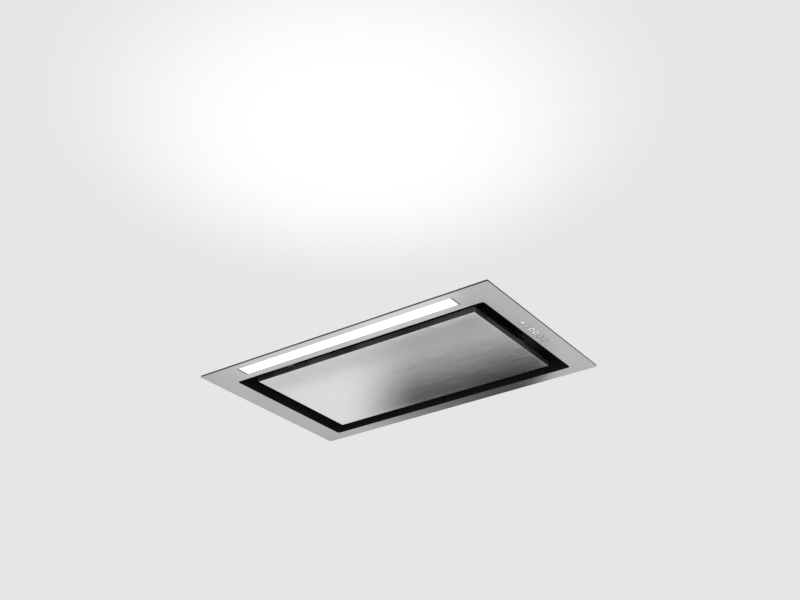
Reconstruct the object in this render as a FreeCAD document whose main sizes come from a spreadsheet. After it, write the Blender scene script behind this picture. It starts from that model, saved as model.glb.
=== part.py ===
import FreeCAD, Part
import math
import os
import re

import Sketcher

# Built-in range hood, in millimetres. The seat plane, where the frame bears on the underside of the
# wall cabinet, is z = 0. +Z is up into the cabinet, -Y is towards the cook and +X is the cook's right.

Vector = FreeCAD.Vector

# Driving sizes: alias, value and what it measures.
SIZES = [
    ("frame_width", 598.0, "bottom frame, left to right"),
    ("frame_depth", 387.4, "bottom frame, front to back"),
    ("frame_sheet", 1.2, "bottom frame, sheet thickness"),
    ("frame_lip", 3.0, "bottom frame, height of its turned-up edge"),
    ("frame_corner", 2.0, "bottom frame, radius of its outer corners"),
    ("opening_corner", 6.0, "bottom frame, radius of the suction opening's corners"),
    ("flange_side", 15.7, "frame edge to casing wall, left and right"),
    ("flange_end", 8.5, "frame edge to casing wall, front and back"),
    ("fit_gap", 0.3, "clearance between pieces that lie side by side"),
    ("running_gap", 0.05, "radial clearance of a pin or shaft in its bore"),
    ("press_gap", 0.02, "radial clearance of a pin fixed in its hole"),
    ("tab_reach", 12.0, "casing foot tabs, away from the wall"),
    ("tab_width", 14.0, "casing foot tabs, along the wall"),
    ("tab_setback", 54.0, "casing side tabs, from the front or back wall"),
    ("tab_front_inset", 24.0, "casing front tabs, from the side wall"),
    ("tray_sheet", 1.0, "inlet tray, sheet thickness"),
    ("tray_step", 0.5, "inlet tray wall behind the edge of the opening"),
    ("tray_foot", 5.0, "inlet tray, width of its foot on the frame"),
    ("recess_depth", 46.0, "underside of the frame to the ceiling of the inlet tray"),
    ("back_gap", 9.9, "inlet tray foot to casing back wall"),
    ("panel_gap_side", 30.3, "suction gap, left and right"),
    ("panel_gap_front", 23.2, "suction gap, front"),
    ("panel_gap_back", 27.8, "suction gap, back"),
    ("panel_height", 10.0, "suction panel, height of its folded sides"),
    ("panel_sheet", 1.0, "suction panel, sheet thickness"),
    ("panel_recess", 0.8, "suction panel's face above the underside of the frame"),
    ("panel_bend", 0.8, "suction panel, outside radius of its folds"),
    ("backing_sheet", 1.0, "panel backing, sheet thickness"),
    ("backing_rib", 16.0, "panel backing, width of its ribs"),
    ("hinge_setback", 14.0, "panel hinge axis in front of the panel's back edge"),
    ("hinge_rise", 13.0, "panel hinge axis above the panel"),
    ("hinge_spread", 150.0, "panel hinges, from the centre line"),
    ("hinge_pin_radius", 2.0, "panel hinge pins"),
    ("hinge_ear_width", 10.0, "panel hinge ears, along the pin"),
    ("hinge_ear_radius", 5.0, "panel hinge ears, round the pin"),
    ("hinge_cheek", 1.5, "panel hinge brackets, sheet thickness"),
    ("hinge_base", 8.0, "panel hinge brackets, half depth"),
    ("magnet_setback", 24.0, "panel magnets behind the panel's front edge"),
    ("magnet_spread", 150.0, "panel magnets, from the centre line"),
    ("magnet_length", 16.0, "panel magnets, left to right"),
    ("magnet_width", 10.0, "panel magnets, front to back"),
    ("magnet_height", 5.0, "panel magnets"),
    ("holder_wall", 2.0, "magnet holders, wall round the magnet"),
    ("filter_inset", 57.0, "filter opening inside the suction opening, left and right"),
    ("filter_edge", 3.0, "tray ceiling left between filter opening and its neighbours"),
    ("filter_gap", 1.0, "filter in its opening"),
    ("filter_height", 10.0, "grease filter"),
    ("filter_drop", 3.0, "grease filter below the tray ceiling"),
    ("filter_bar", 14.0, "grease filter, width of its frame bars"),
    ("filter_tab", 5.0, "grease filter, reach of its hanging tabs"),
    ("filter_tab_width", 24.0, "grease filter, width of its hanging tabs"),
    ("filter_tab_sheet", 1.2, "grease filter, thickness of its hanging tabs"),
    ("mesh_sheet", 3.0, "filter mesh"),
    ("mesh_pitch", 44.0, "filter mesh, centre to centre"),
    ("mesh_strand", 4.0, "filter mesh, width of the metal between two gaps"),
    ("latch_width", 30.0, "filter latch, left to right"),
    ("latch_sheet", 1.6, "filter latch, thickness"),
    ("latch_reach", 5.0, "filter latch, overlap on the tray ceiling"),
    ("latch_travel", 6.0, "filter latch, how far it pulls back"),
    ("latch_well", 18.0, "filter latch, depth of the finger well"),
    ("latch_well_wall", 1.5, "filter latch, wall of the finger well"),
    ("led_margin", 74.5, "light strip's end to the frame's side edge"),
    ("led_width", 27.3, "light strip, front to back"),
    ("led_shoulder", 2.5, "light strip, hidden edge behind the frame"),
    ("led_recess", 0.2, "light strip's face above the underside of the frame"),
    ("led_flange", 1.5, "light strip, thickness of its hidden edge"),
    ("led_sheet", 1.2, "light housing, sheet thickness"),
    ("led_height", 20.0, "light housing"),
    ("led_front_gap", 0.6, "light housing to casing front wall"),
    ("led_back_gap", 3.6, "light housing to the foot of the inlet tray"),
    ("led_board_width", 16.0, "light board, front to back"),
    ("led_board_sheet", 1.6, "light board"),
    ("led_chip", 3.0, "light-emitting chips, length and width"),
    ("led_chip_height", 0.8, "light-emitting chips"),
    ("button_radius", 6.1, "push-buttons"),
    ("button_gap", 0.15, "push-button in its hole"),
    ("button_recess", 0.2, "push-button's face above the underside of the frame"),
    ("button_travel", 0.8, "push-button stroke"),
    ("button_flange", 1.2, "push-button, thickness of its stop flange"),
    ("stop_lap", 0.35, "push-button, stop flange past the edge of the hole"),
    ("stop_gap", 0.1, "push-button, stop flange to the keypad housing"),
    ("stop_spacing", 2.1, "between the stop flanges of two push-buttons"),
    ("button_middle", 2.6, "middle of the button row behind the middle of the hood"),
    ("keypad_wall", 1.0, "keypad housing, wall round the buttons"),
    ("keypad_board", 1.6, "keypad circuit board"),
    ("switch_size", 6.0, "key switches, length and width"),
    ("switch_height", 3.4, "key switches"),
    ("casing_sheet", 1.0, "lower and motor casing, sheet thickness"),
    ("casing_bend", 3.0, "lower and motor casing, outside radius of their folds"),
    ("plenum_height", 28.0, "top of the filter to the top of the lower casing"),
    ("side_screw_drop", 16.0, "cabinet screw holes below the top of the lower casing"),
    ("side_screw_spread", 240.0, "cabinet screw holes, front to back"),
    ("side_screw_radius", 2.5, "cabinet screw holes"),
    ("motor_box_width", 260.0, "motor casing, left to right"),
    ("motor_box_setback", 30.0, "motor casing behind the front of the lower casing"),
    ("motor_box_flange", 12.0, "motor casing, width of its foot flange"),
    ("motor_box_gap", 6.0, "motor casing to scroll and to collar"),
    ("field_inset", 26.0, "motor casing, pressed fields inside the edges of its walls"),
    ("field_height", 1.5, "motor casing, how far the pressed fields stand out"),
    ("impeller_radius", 70.0, "impeller"),
    ("impeller_width", 96.0, "impeller"),
    ("impeller_ring", 12.0, "impeller, radial depth of its blades"),
    ("impeller_rim", 3.0, "impeller, thickness of its end rings"),
    ("impeller_disc", 2.0, "impeller, thickness of its middle disc"),
    ("impeller_hub_radius", 12.0, "impeller hub"),
    ("impeller_hub_length", 16.0, "impeller hub"),
    ("blade_count", 20, "impeller blades"),
    ("blade_sheet", 0.9, "impeller blades, thickness"),
    ("blade_sweep", 8.0, "impeller blades, degrees from inner to outer edge"),
    ("blade_bulge", 2.2, "impeller blades, depth of their curve"),
    ("blade_strips", 2, "impeller blades, flat strips that make up their curve"),
    ("blade_inset", 1.0, "impeller blades, edges inside the end rings' edges"),
    ("shaft_radius", 4.0, "motor shaft"),
    ("shaft_overhang", 4.0, "motor shaft past the hub and the motor"),
    ("motor_radius", 40.0, "motor can"),
    ("motor_length", 70.0, "motor can, along the shaft"),
    ("motor_gap", 6.0, "impeller disc to motor can"),
    ("bearing_radius", 11.0, "motor can, radius of its bearing boss"),
    ("boss_length", 3.0, "motor can, length of its bearing boss"),
    ("spider_sheet", 2.0, "motor bracket"),
    ("spider_arm", 14.0, "motor bracket, width of its arms"),
    ("spider_ring", 30.0, "motor bracket, radius of its middle"),
    ("spider_reach", 66.0, "motor bracket, fixing screws from the shaft"),
    ("post_width", 14.0, "scroll posts under the motor bracket, width"),
    ("scroll_wall", 2.0, "scroll, wall thickness"),
    ("scroll_start", 16.0, "scroll, first arc's radius less the impeller's"),
    ("scroll_step", 14.0, "scroll, growth of the radius per quarter turn"),
    ("scroll_side_gap", 5.0, "scroll, clearance beside the impeller"),
    ("scroll_floor_gap", 9.0, "scroll above the grease filter"),
    ("scroll_rise", 100.0, "scroll, outlet above the impeller's axis"),
    ("scroll_flange", 10.0, "scroll, width of its outlet flange"),
    ("scroll_flange_sheet", 3.0, "scroll, thickness of its outlet flange"),
    ("neck_width", 106.0, "scroll, front to back inside its outlet"),
    ("inlet_radius", 57.0, "scroll inlets"),
    ("inlet_lip", 6.0, "scroll inlets, length and flare of their lip"),
    ("spigot_radius", 75.0, "outlet collar, outside of its spigot"),
    ("spigot_wall", 2.5, "outlet collar, wall"),
    ("spigot_height", 35.0, "outlet collar, above the motor casing"),
    ("collar_flange", 20.0, "outlet collar, width of its flange"),
    ("collar_corner", 8.0, "outlet collar, radius of its flange's corners"),
    ("collar_sheet", 2.5, "outlet collar, thickness of its flange"),
    ("collar_seat", 4.5, "outlet collar, ledge under the flaps"),
    ("flap_gap", 1.0, "flap's edge to the collar wall"),
    ("flap_sheet", 1.6, "flaps"),
    ("flap_pin_radius", 2.0, "flap pin"),
    ("knuckle_wall", 1.4, "flap knuckles, wall round the pin"),
    ("knuckle_length", 44.0, "flap knuckles"),
    ("knuckle_space", 6.0, "between the knuckles of the two flaps"),
    ("knuckle_clear", 0.8, "knuckle of one flap to the edge of the other"),
    ("control_gap", 8.0, "control box beside the motor casing's flange"),
    ("control_width", 110.0, "control box, left to right"),
    ("control_front", 100.0, "control box, front wall ahead of the middle of the hood"),
    ("control_depth", 140.0, "control box, front to back"),
    ("control_height", 34.0, "control box"),
    ("control_wall", 2.0, "control box, wall"),
    ("control_corner", 4.0, "control box, radius of its corners"),
    ("control_rail", 4.0, "control box, width and height of the rails under the board"),
    ("board_inset", 4.0, "control board inside the control box"),
    ("board_sheet", 1.6, "control board"),
    ("relay_width", 16.0, "relays on the control board"),
    ("relay_length", 20.0, "relays on the control board"),
    ("relay_height", 15.0, "relays on the control board"),
    ("gland_bore", 4.2, "cable gland, radius of its bore"),
    ("gland_thread", 8.0, "cable gland, radius of its thread"),
    ("gland_head", 11.0, "cable gland, radius of its head"),
    ("gland_head_length", 12.0, "cable gland, head outside the box"),
    ("gland_inside", 6.0, "cable gland, thread inside the box"),
    ("driver_width", 104.0, "light driver, left to right"),
    ("driver_depth", 52.0, "light driver, front to back"),
    ("driver_height", 24.0, "light driver"),
    ("driver_ear", 10.0, "light driver, width of its screw ears"),
    ("driver_ear_sheet", 2.0, "light driver, thickness of its screw ears"),
    ("driver_bend", 3.0, "light driver, radius of its upper edges"),
    ("capacitor_radius", 18.0, "motor capacitor"),
    ("capacitor_length", 70.0, "motor capacitor"),
    ("capacitor_front", 5.0, "motor capacitor, ahead of the middle of the hood"),
    ("terminal", 6.3, "motor capacitor, width of its terminals"),
    ("terminal_sheet", 0.8, "motor capacitor, thickness of its terminals"),
    ("terminal_length", 9.0, "motor capacitor, length of its terminals"),
    ("clip_sheet", 1.2, "capacitor clip"),
    ("clip_width", 16.0, "capacitor clip"),
    ("clip_foot", 12.0, "capacitor clip, width of its feet"),
]

# Places worked out from the sizes: name and expression.
DATUMS = [
    ("underside", "-frame_lip"),
    ("plate_top", "underside + frame_sheet"),
    ("half_width", "frame_width / 2"),
    ("half_depth", "frame_depth / 2"),
    ("case_side", "half_width - flange_side"),
    ("case_end", "half_depth - flange_end"),
    ("case_in_side", "case_side - casing_sheet"),
    ("case_in_end", "case_end - casing_sheet"),
    # push-button row: the keypad fills the rim between casing wall and inlet tray
    ("stop_half", "button_radius + button_gap + stop_lap"),
    ("button_pitch", "2 * stop_half + stop_spacing"),
    ("keypad_half", "stop_half + stop_gap + keypad_wall"),
    ("button_x", "case_in_side - 2 * fit_gap - keypad_half"),
    ("switch_low", "plate_top + button_flange + button_travel + fit_gap"),
    ("switch_top", "switch_low + switch_height"),
    ("tray_out_side", "button_x - keypad_half - 2 * fit_gap - tray_foot"),
    ("open_side", "tray_out_side - tray_sheet - tray_step"),
    # light strip: its housing fills the rim between casing wall and inlet tray
    ("led_side", "half_width - led_margin"),
    ("led_front", "-case_in_end + led_front_gap + led_sheet + led_shoulder"),
    ("led_back", "led_front + led_width"),
    ("led_middle", "(led_front + led_back) / 2"),
    ("led_top", "plate_top + led_height"),
    ("tray_out_front", "led_back + led_shoulder + led_sheet + led_back_gap + tray_foot"),
    ("open_front", "tray_out_front + tray_sheet + tray_step"),
    ("tray_out_back", "case_in_end - back_gap - tray_foot"),
    ("open_back", "tray_out_back - tray_sheet - tray_step"),
    # suction panel and its hinge
    ("panel_side", "open_side - panel_gap_side"),
    ("panel_front", "open_front + panel_gap_front"),
    ("panel_back", "open_back - panel_gap_back"),
    ("panel_low", "underside + panel_recess"),
    ("panel_floor", "panel_low + panel_sheet"),
    ("panel_top", "panel_low + panel_height"),
    ("hinge_y", "panel_back - hinge_setback"),
    ("hinge_z", "panel_top + hinge_rise"),
    ("magnet_y", "panel_front + magnet_setback"),
    ("magnet_low", "panel_top + fit_gap"),
    ("holder_half", "magnet_width / 2 + holder_wall"),
    # inlet tray ceiling and the grease filter that hangs in it
    ("ceiling", "underside + recess_depth"),
    ("ceiling_top", "ceiling + tray_sheet"),
    ("hatch_side", "open_side - filter_inset"),
    ("hatch_front", "magnet_y + holder_half + filter_edge"),
    ("hatch_back", "hinge_y - hinge_base - filter_edge - filter_tab"),
    ("filter_side", "hatch_side - filter_gap"),
    ("filter_front", "hatch_front + filter_gap"),
    ("filter_back", "hatch_back - filter_gap"),
    ("filter_low", "ceiling - filter_drop"),
    ("filter_top", "filter_low + filter_height"),
    ("mesh_front", "filter_front + filter_bar"),
    ("well_side", "latch_width / 2 + latch_sheet + latch_well_wall"),
    ("well_back", "mesh_front + latch_well"),
    ("latch_low", "ceiling_top + fit_gap"),
    ("latch_grip", "mesh_front + latch_well - latch_travel - 2 * latch_sheet"),
    # fan, motor casing and outlet
    ("case_top", "filter_top + plenum_height"),
    ("box_side", "motor_box_width / 2"),
    ("box_front", "motor_box_setback - case_end"),
    ("scroll_r1", "impeller_radius + scroll_start"),
    ("scroll_left", "scroll_step / 2 + scroll_r1"),
    ("scroll_bottom", "scroll_step * 3 / 2 + scroll_r1"),
    ("scroll_right", "scroll_step * 5 / 2 + scroll_r1"),
    ("fan_y", "box_front + casing_sheet + motor_box_gap + scroll_wall + scroll_left"),
    ("fan_z", "filter_top + scroll_floor_gap + scroll_wall + scroll_bottom"),
    ("scroll_half", "impeller_width / 2 + scroll_side_gap"),
    ("duct_y", "fan_y + scroll_right - neck_width / 2"),
    ("outlet_z", "fan_z + scroll_rise"),
    ("box_top", "outlet_z + casing_sheet"),
    ("collar_half", "spigot_radius + collar_flange"),
    ("box_back", "duct_y + collar_half + motor_box_gap"),
    ("spigot_bore", "spigot_radius - spigot_wall"),
    ("flap_low", "box_top + collar_sheet + fit_gap"),
    ("knuckle_radius", "flap_pin_radius + running_gap + knuckle_wall"),
    ("flap_axis", "flap_low + knuckle_radius"),
    # motor, along the shaft
    ("motor_start", "motor_gap"),
    ("motor_end", "motor_start + motor_length"),
    # pieces on top of the lower casing
    ("control_left", "box_side + motor_box_flange + control_gap"),
    ("control_right", "control_left + control_width"),
    ("control_back", "control_depth - control_front"),
    ("control_top", "case_top + control_height"),
    ("control_middle", "(control_left + control_right) / 2"),
    ("gland_z", "case_top + control_height / 2"),
    ("left_middle", "-control_middle"),
    ("capacitor_z", "case_top + fit_gap + capacitor_radius"),
]

SIZE_NAMES = {name for name, value, meaning in SIZES}
DATUM_NAMES = {name for name, expression in DATUMS}
BUTTON_NAMES = [
    "light_button",
    "motor_button",
    "low_speed_button",
    "high_speed_button",
    "boost_button",
    "timer_button",
]
LIGHT_CHIP_COUNT = 16

doc = FreeCAD.newDocument("range_hood")
pieces = []


# Sheet of sizes, datums and the links between them


def link(expression):
    """The expression with each size or datum name pointed at the object that holds it."""

    def held(match):
        word = match.group(0)
        if word in SIZE_NAMES:
            return "sizes." + word
        if word in DATUM_NAMES:
            return "datum." + word
        return word

    return re.sub(r"[a-z][a-z0-9_]*", held, expression)


def bind(thing, expressions):
    """Ties properties of a document object to expressions on the sizes."""
    for path, expression in expressions.items():
        thing.setExpression(path, link(expression))


def make_sheet():
    """The spreadsheet that holds the driving sizes, one alias to a cell."""
    sheet = doc.addObject("Spreadsheet::Sheet", "sizes")
    for row, (name, value, meaning) in enumerate(SIZES, 1):
        sheet.set(f"A{row}", str(value))
        sheet.setAlias(f"A{row}", name)
        sheet.set(f"B{row}", meaning)
    doc.recompute()
    return sheet


def make_datums():
    """The variable set that holds the places worked out from the sizes."""
    datums = doc.addObject("App::VarSet", "datum")
    for name, expression in DATUMS:
        datums.addProperty("App::PropertyFloat", name, "Places", expression)
        bind(datums, {name: expression})
    doc.recompute()
    return datums


sizes = make_sheet()
datum = make_datums()


# Building blocks


def piece(label, thing):
    """Names a finished sub-part and keeps it for export."""
    thing.Label = label
    pieces.append(thing)
    return thing


def block(name, x, y, z):
    """A box: x, y and z are pairs of expressions, for its low and its high face."""
    box = doc.addObject("Part::Box", name)
    for axis, size, (low, high) in zip("xyz", ("Length", "Width", "Height"), (x, y, z)):
        bind(box, {"Placement.Base." + axis: low, size: f"({high}) - ({low})"})
    return box


ALONG = {
    "x": FreeCAD.Rotation(Vector(0, 0, 1), Vector(1, 0, 0)),
    "y": FreeCAD.Rotation(Vector(0, 0, 1), Vector(0, 1, 0)),
    "z": FreeCAD.Rotation(),
}


def rod(name, axis, centre, radius, span):
    """A round bar along an axis: centre holds its two other coordinates, span its two ends."""
    bar = doc.addObject("Part::Cylinder", name)
    bar.Placement = FreeCAD.Placement(Vector(), ALONG[axis])
    low, high = span
    bind(bar, {"Placement.Base." + axis: low, "Height": f"({high}) - ({low})", "Radius": radius})
    for letter, place in zip("xyz".replace(axis, ""), centre):
        bind(bar, {"Placement.Base." + letter: place})
    return bar


def fuse(name, *things):
    """Several shapes joined to one."""
    joined = doc.addObject("Part::MultiFuse", name)
    joined.Shapes = list(things)
    joined.Refine = True
    return joined


def group(name, *things):
    """Several solids kept apart in one sub-part."""
    together = doc.addObject("Part::Compound", name)
    together.Links = list(things)
    return together


def cut(name, base, *tools):
    """A shape with every tool taken away."""
    result = doc.addObject("Part::Cut", name)
    result.Base = base
    result.Tool = tools[0] if len(tools) == 1 else fuse(name + "_tools", *tools)
    return result


def sketch(body, name, role, offset="0"):
    """An empty sketch on one of a body's own planes, moved along the plane's normal."""
    drawing = body.newObject("Sketcher::SketchObject", name)
    plane = next(f for f in body.Origin.OriginFeatures if f.Role == role)
    drawing.AttachmentSupport = (plane, [""])
    drawing.MapMode = "FlatFace"
    bind(drawing, {"AttachmentOffset.Base.z": offset})
    return drawing


def hold(drawing, kind, first, expression, *rest):
    """Adds a named constraint and ties its value to an expression."""
    number = drawing.addConstraint(Sketcher.Constraint(kind, *rest, first))
    drawing.renameConstraint(number, f"size_{number}")
    bind(drawing, {f"Constraints.size_{number}": expression})


def polygon(drawing, corners):
    """A closed outline: each corner is a pair of expressions, fixed from the sketch's origin."""
    start, count = drawing.GeometryCount, len(corners)
    turns = [2 * math.pi * i / count for i in range(count)]
    spots = [Vector(10 * math.cos(t), 10 * math.sin(t), 0) for t in turns]
    for i in range(count):
        drawing.addGeometry(Part.LineSegment(spots[i], spots[(i + 1) % count]), False)
    for i in range(count):
        following = start + (i + 1) % count
        drawing.addConstraint(Sketcher.Constraint("Coincident", start + i, 2, following, 1))
    for i, (x, y) in enumerate(corners):
        hold(drawing, "DistanceX", spots[i].x, x, -1, 1, start + i, 1)
        hold(drawing, "DistanceY", spots[i].y, y, -1, 1, start + i, 1)


def rectangle(drawing, x, y):
    """A rectangle between two pairs of expressions."""
    (left, right), (low, high) = x, y
    polygon(drawing, [(left, low), (right, low), (right, high), (left, high)])


def rounded_rectangle(drawing, x, y, radius):
    """A rectangle between two pairs of expressions, with an arc at each corner."""
    start = drawing.GeometryCount
    turns = [FreeCAD.Rotation(Vector(0, 0, 1), 90 * i) for i in range(4)]
    for turn in turns:
        ends = turn.multVec(Vector(-5, -10, 0)), turn.multVec(Vector(5, -10, 0))
        drawing.addGeometry(Part.LineSegment(*ends), False)
    for i, turn in enumerate(turns):
        ring = Part.Circle(turn.multVec(Vector(5, -5, 0)), Vector(0, 0, 1), 5)
        drawing.addGeometry(Part.ArcOfCircle(ring, math.pi / 2 * (i - 1), math.pi / 2 * i), False)
    for i in range(4):
        side, arc, following = start + i, start + 4 + i, start + (i + 1) % 4
        drawing.addConstraint(Sketcher.Constraint("Tangent", side, 2, arc, 1))
        drawing.addConstraint(Sketcher.Constraint("Tangent", arc, 2, following, 1))
        drawing.addConstraint(Sketcher.Constraint("Vertical" if i % 2 else "Horizontal", side))
        hold(drawing, "Radius", 5, radius, arc)
    for kind, place, expression, side in (
        ("DistanceY", -10, y[0], 0),
        ("DistanceX", 10, x[1], 1),
        ("DistanceY", 10, y[1], 2),
        ("DistanceX", -10, x[0], 3),
    ):
        hold(drawing, kind, place, expression, -1, 1, start + side, 1)


def circle(drawing, x, y, radius):
    """A circle about a pair of expressions."""
    ring = drawing.addGeometry(Part.Circle(Vector(1, 1, 0), Vector(0, 0, 1), 1), False)
    hold(drawing, "DistanceX", 1, x, -1, 1, ring, 3)
    hold(drawing, "DistanceY", 1, y, -1, 1, ring, 3)
    hold(drawing, "Radius", 1, radius, ring)


def pad(body, drawing, length):
    """Raises a sketch along its normal."""
    feature = body.newObject("PartDesign::Pad", drawing.Name + "_pad")
    feature.Profile = drawing
    bind(feature, {"Length": length})
    return feature


def pierce(body, drawing):
    """Cuts a sketch right through a body, both ways."""
    feature = body.newObject("PartDesign::Pocket", drawing.Name + "_cut")
    feature.Profile = drawing
    feature.Type = "ThroughAll"
    feature.SideType = "Symmetric"
    return feature


def sink(body, drawing, depth):
    """Cuts a sketch into a body along the sketch's normal."""
    feature = body.newObject("PartDesign::Pocket", drawing.Name + "_cut")
    feature.Profile = drawing
    feature.Reversed = True
    bind(feature, {"Length": depth})
    return feature


def revolve(body, drawing, axis="V_Axis"):
    """Turns a sketch once round one of its own axes."""
    feature = body.newObject("PartDesign::Revolution", drawing.Name + "_turn")
    feature.Profile = drawing
    feature.ReferenceAxis = (drawing, [axis])
    feature.Angle = 360
    return feature


def round_edges(body, base, name, radius, wanted):
    """Rounds the edges of a feature whose middle and direction pass a test."""
    doc.recompute()
    found = []
    for number, edge in enumerate(base.Shape.Edges, 1):
        if not isinstance(edge.Curve, Part.Line):
            continue
        ends = [v.Point for v in edge.Vertexes]
        if wanted((ends[0] + ends[1]) / 2, (ends[1] - ends[0]).normalize()):
            found.append(f"Edge{number}")
    fillet = body.newObject("PartDesign::Fillet", name)
    fillet.Base = (base, found)
    bind(fillet, {"Radius": radius})
    return fillet


def in_level(level):
    """A test for round_edges that passes the edges in the plane z = level."""

    def passes(middle, direction):
        return abs(middle.z - level) < 0.01 and abs(direction.z) < 0.01

    return passes


def shell_out(body, base, name, wall, level):
    """Hollows a body from its flat face in the plane z = level, leaving a wall."""
    doc.recompute()
    faces = [f"Face{n}" for n, f in enumerate(base.Shape.Faces, 1) if abs(f.CenterOfMass.z - level) < 0.01]
    shell = body.newObject("PartDesign::Thickness", name)
    shell.Base = (base, faces)
    bind(shell, {"Value": wall})
    return shell


# Bottom frame and what lies on it


def bottom_frame():
    """The visible steel frame: a flat plate with a turned-up edge, the suction opening, the light's
    slot and the holes of the push-buttons."""
    body = doc.addObject("PartDesign::Body", "frame_body")
    plate = sketch(body, "frame_plate", "XY_Plane", "underside")
    rectangle(plate, ("-half_width", "half_width"), ("-half_depth", "half_depth"))
    pad(body, plate, "frame_sheet")
    edge = sketch(body, "frame_edge", "XY_Plane", "plate_top")
    rectangle(edge, ("-half_width", "half_width"), ("-half_depth", "half_depth"))
    inside_x = ("frame_sheet - half_width", "half_width - frame_sheet")
    rectangle(edge, inside_x, ("frame_sheet - half_depth", "half_depth - frame_sheet"))
    pad(body, edge, "-plate_top")
    openings = sketch(body, "frame_openings", "XY_Plane", "underside")
    rectangle(openings, ("-open_side", "open_side"), ("open_front", "open_back"))
    slot_x = ("-led_side - fit_gap", "led_side + fit_gap")
    rectangle(openings, slot_x, ("led_front - fit_gap", "led_back + fit_gap"))
    pierce(body, openings)
    hole = sketch(body, "frame_button_hole", "XY_Plane", "underside")
    circle(hole, "button_x", button_y(0), "button_radius + button_gap")
    first_hole = pierce(body, hole)
    row = body.newObject("PartDesign::LinearPattern", "frame_button_holes")
    row.Originals = [first_hole]
    row.Direction = (hole, ["V_Axis"])
    row.Occurrences = len(BUTTON_NAMES)
    bind(row, {"Length": f"{len(BUTTON_NAMES) - 1} * button_pitch"})
    body.Tip = row

    def upright(middle, direction):
        return abs(direction.z) > 0.99

    def opening_corner(middle, direction):
        inside = abs(abs(middle.x) - datum.open_side) < 0.01
        return upright(middle, direction) and inside and abs(middle.y) < datum.half_depth - 1

    def outer_corner(middle, direction):
        outside = abs(abs(middle.x) - datum.half_width) < 0.01
        return upright(middle, direction) and outside and abs(abs(middle.y) - datum.half_depth) < 0.01

    rounded = round_edges(body, row, "frame_opening_corners", "opening_corner", opening_corner)
    round_edges(body, rounded, "frame_outer_corners", "frame_corner", outer_corner)
    piece("bottom_frame", body)


def tab_places():
    """The casing's foot tabs on the frame, two on each side and two in front: middle and half sizes."""
    along, across = "tab_width / 2", "tab_reach / 2"
    side_x, front_y = f"(case_in_side - {across})", f"-(case_in_end - {across})"
    places = []
    for sx in ("", "-"):
        for sy in ("", "-"):
            places.append((sx + side_x, f"{sy}(case_in_end - tab_setback)", across, along))
        places.append((f"{sx}(case_in_side - tab_front_inset)", front_y, along, across))
    return places


def cabinet_seal():
    """The foam seal that lies on the frame, between its turned-up edge and the casing."""
    outer_x, outer_y = "(half_width - frame_sheet - fit_gap)", "(half_depth - frame_sheet - fit_gap)"
    inner_x, inner_y = "(case_side + fit_gap)", "(case_end + fit_gap)"
    height = ("plate_top", "0")
    slab = block("seal_slab", ("-" + outer_x, outer_x), ("-" + outer_y, outer_y), height)
    hole = block("seal_hole", ("-" + inner_x, inner_x), ("-" + inner_y, inner_y), height)
    piece("cabinet_seal", cut("seal", slab, hole))


def inlet_tray():
    """The black recess: a drawn tray with rounded corners, a foot on the frame and the filter's hatch."""
    body = doc.addObject("PartDesign::Body", "tray_body")
    inner_x = ("tray_sheet - tray_out_side", "tray_out_side - tray_sheet")
    inner_y = ("tray_out_front + tray_sheet", "tray_out_back - tray_sheet")
    outer_x, outer_y = ("-tray_out_side", "tray_out_side"), ("tray_out_front", "tray_out_back")
    inner_radius, outer_radius = "opening_corner + tray_step", "opening_corner + tray_step + tray_sheet"
    foot = sketch(body, "tray_foot_outline", "XY_Plane", "plate_top")
    foot_x = ("-tray_out_side - tray_foot", "tray_out_side + tray_foot")
    rectangle(foot, foot_x, ("tray_out_front - tray_foot", "tray_out_back + tray_foot"))
    rounded_rectangle(foot, inner_x, inner_y, inner_radius)
    pad(body, foot, "tray_sheet")
    walls = sketch(body, "tray_walls", "XY_Plane", "plate_top")
    rounded_rectangle(walls, outer_x, outer_y, outer_radius)
    rounded_rectangle(walls, inner_x, inner_y, inner_radius)
    pad(body, walls, "ceiling_top - plate_top")
    top = sketch(body, "tray_ceiling", "XY_Plane", "ceiling")
    rounded_rectangle(top, outer_x, outer_y, outer_radius)
    rectangle(top, ("-hatch_side", "hatch_side"), ("hatch_front", "hatch_back"))
    pad(body, top, "tray_sheet")
    piece("inlet_tray", body)


# Suction panel, hinge and magnets


def suction_panel():
    """The flat steel panel: a shallow tray folded from one sheet, open at the top."""
    body = doc.addObject("PartDesign::Body", "panel_body")
    sheet = sketch(body, "panel_sheet_outline", "XY_Plane", "panel_low")
    rectangle(sheet, ("-panel_side", "panel_side"), ("panel_front", "panel_back"))
    pad(body, sheet, "panel_height")
    inside = sketch(body, "panel_inside", "XY_Plane", "panel_floor")
    inner_x = ("panel_sheet - panel_side", "panel_side - panel_sheet")
    rectangle(inside, inner_x, ("panel_front + panel_sheet", "panel_back - panel_sheet"))
    hollow = sink(body, inside, "panel_height")

    def fold(middle, direction):
        return abs(middle.z - datum.panel_low) < 0.01 and abs(direction.z) < 0.01

    round_edges(body, hollow, "panel_folds", "panel_bend", fold)
    piece("suction_panel", body)


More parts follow.
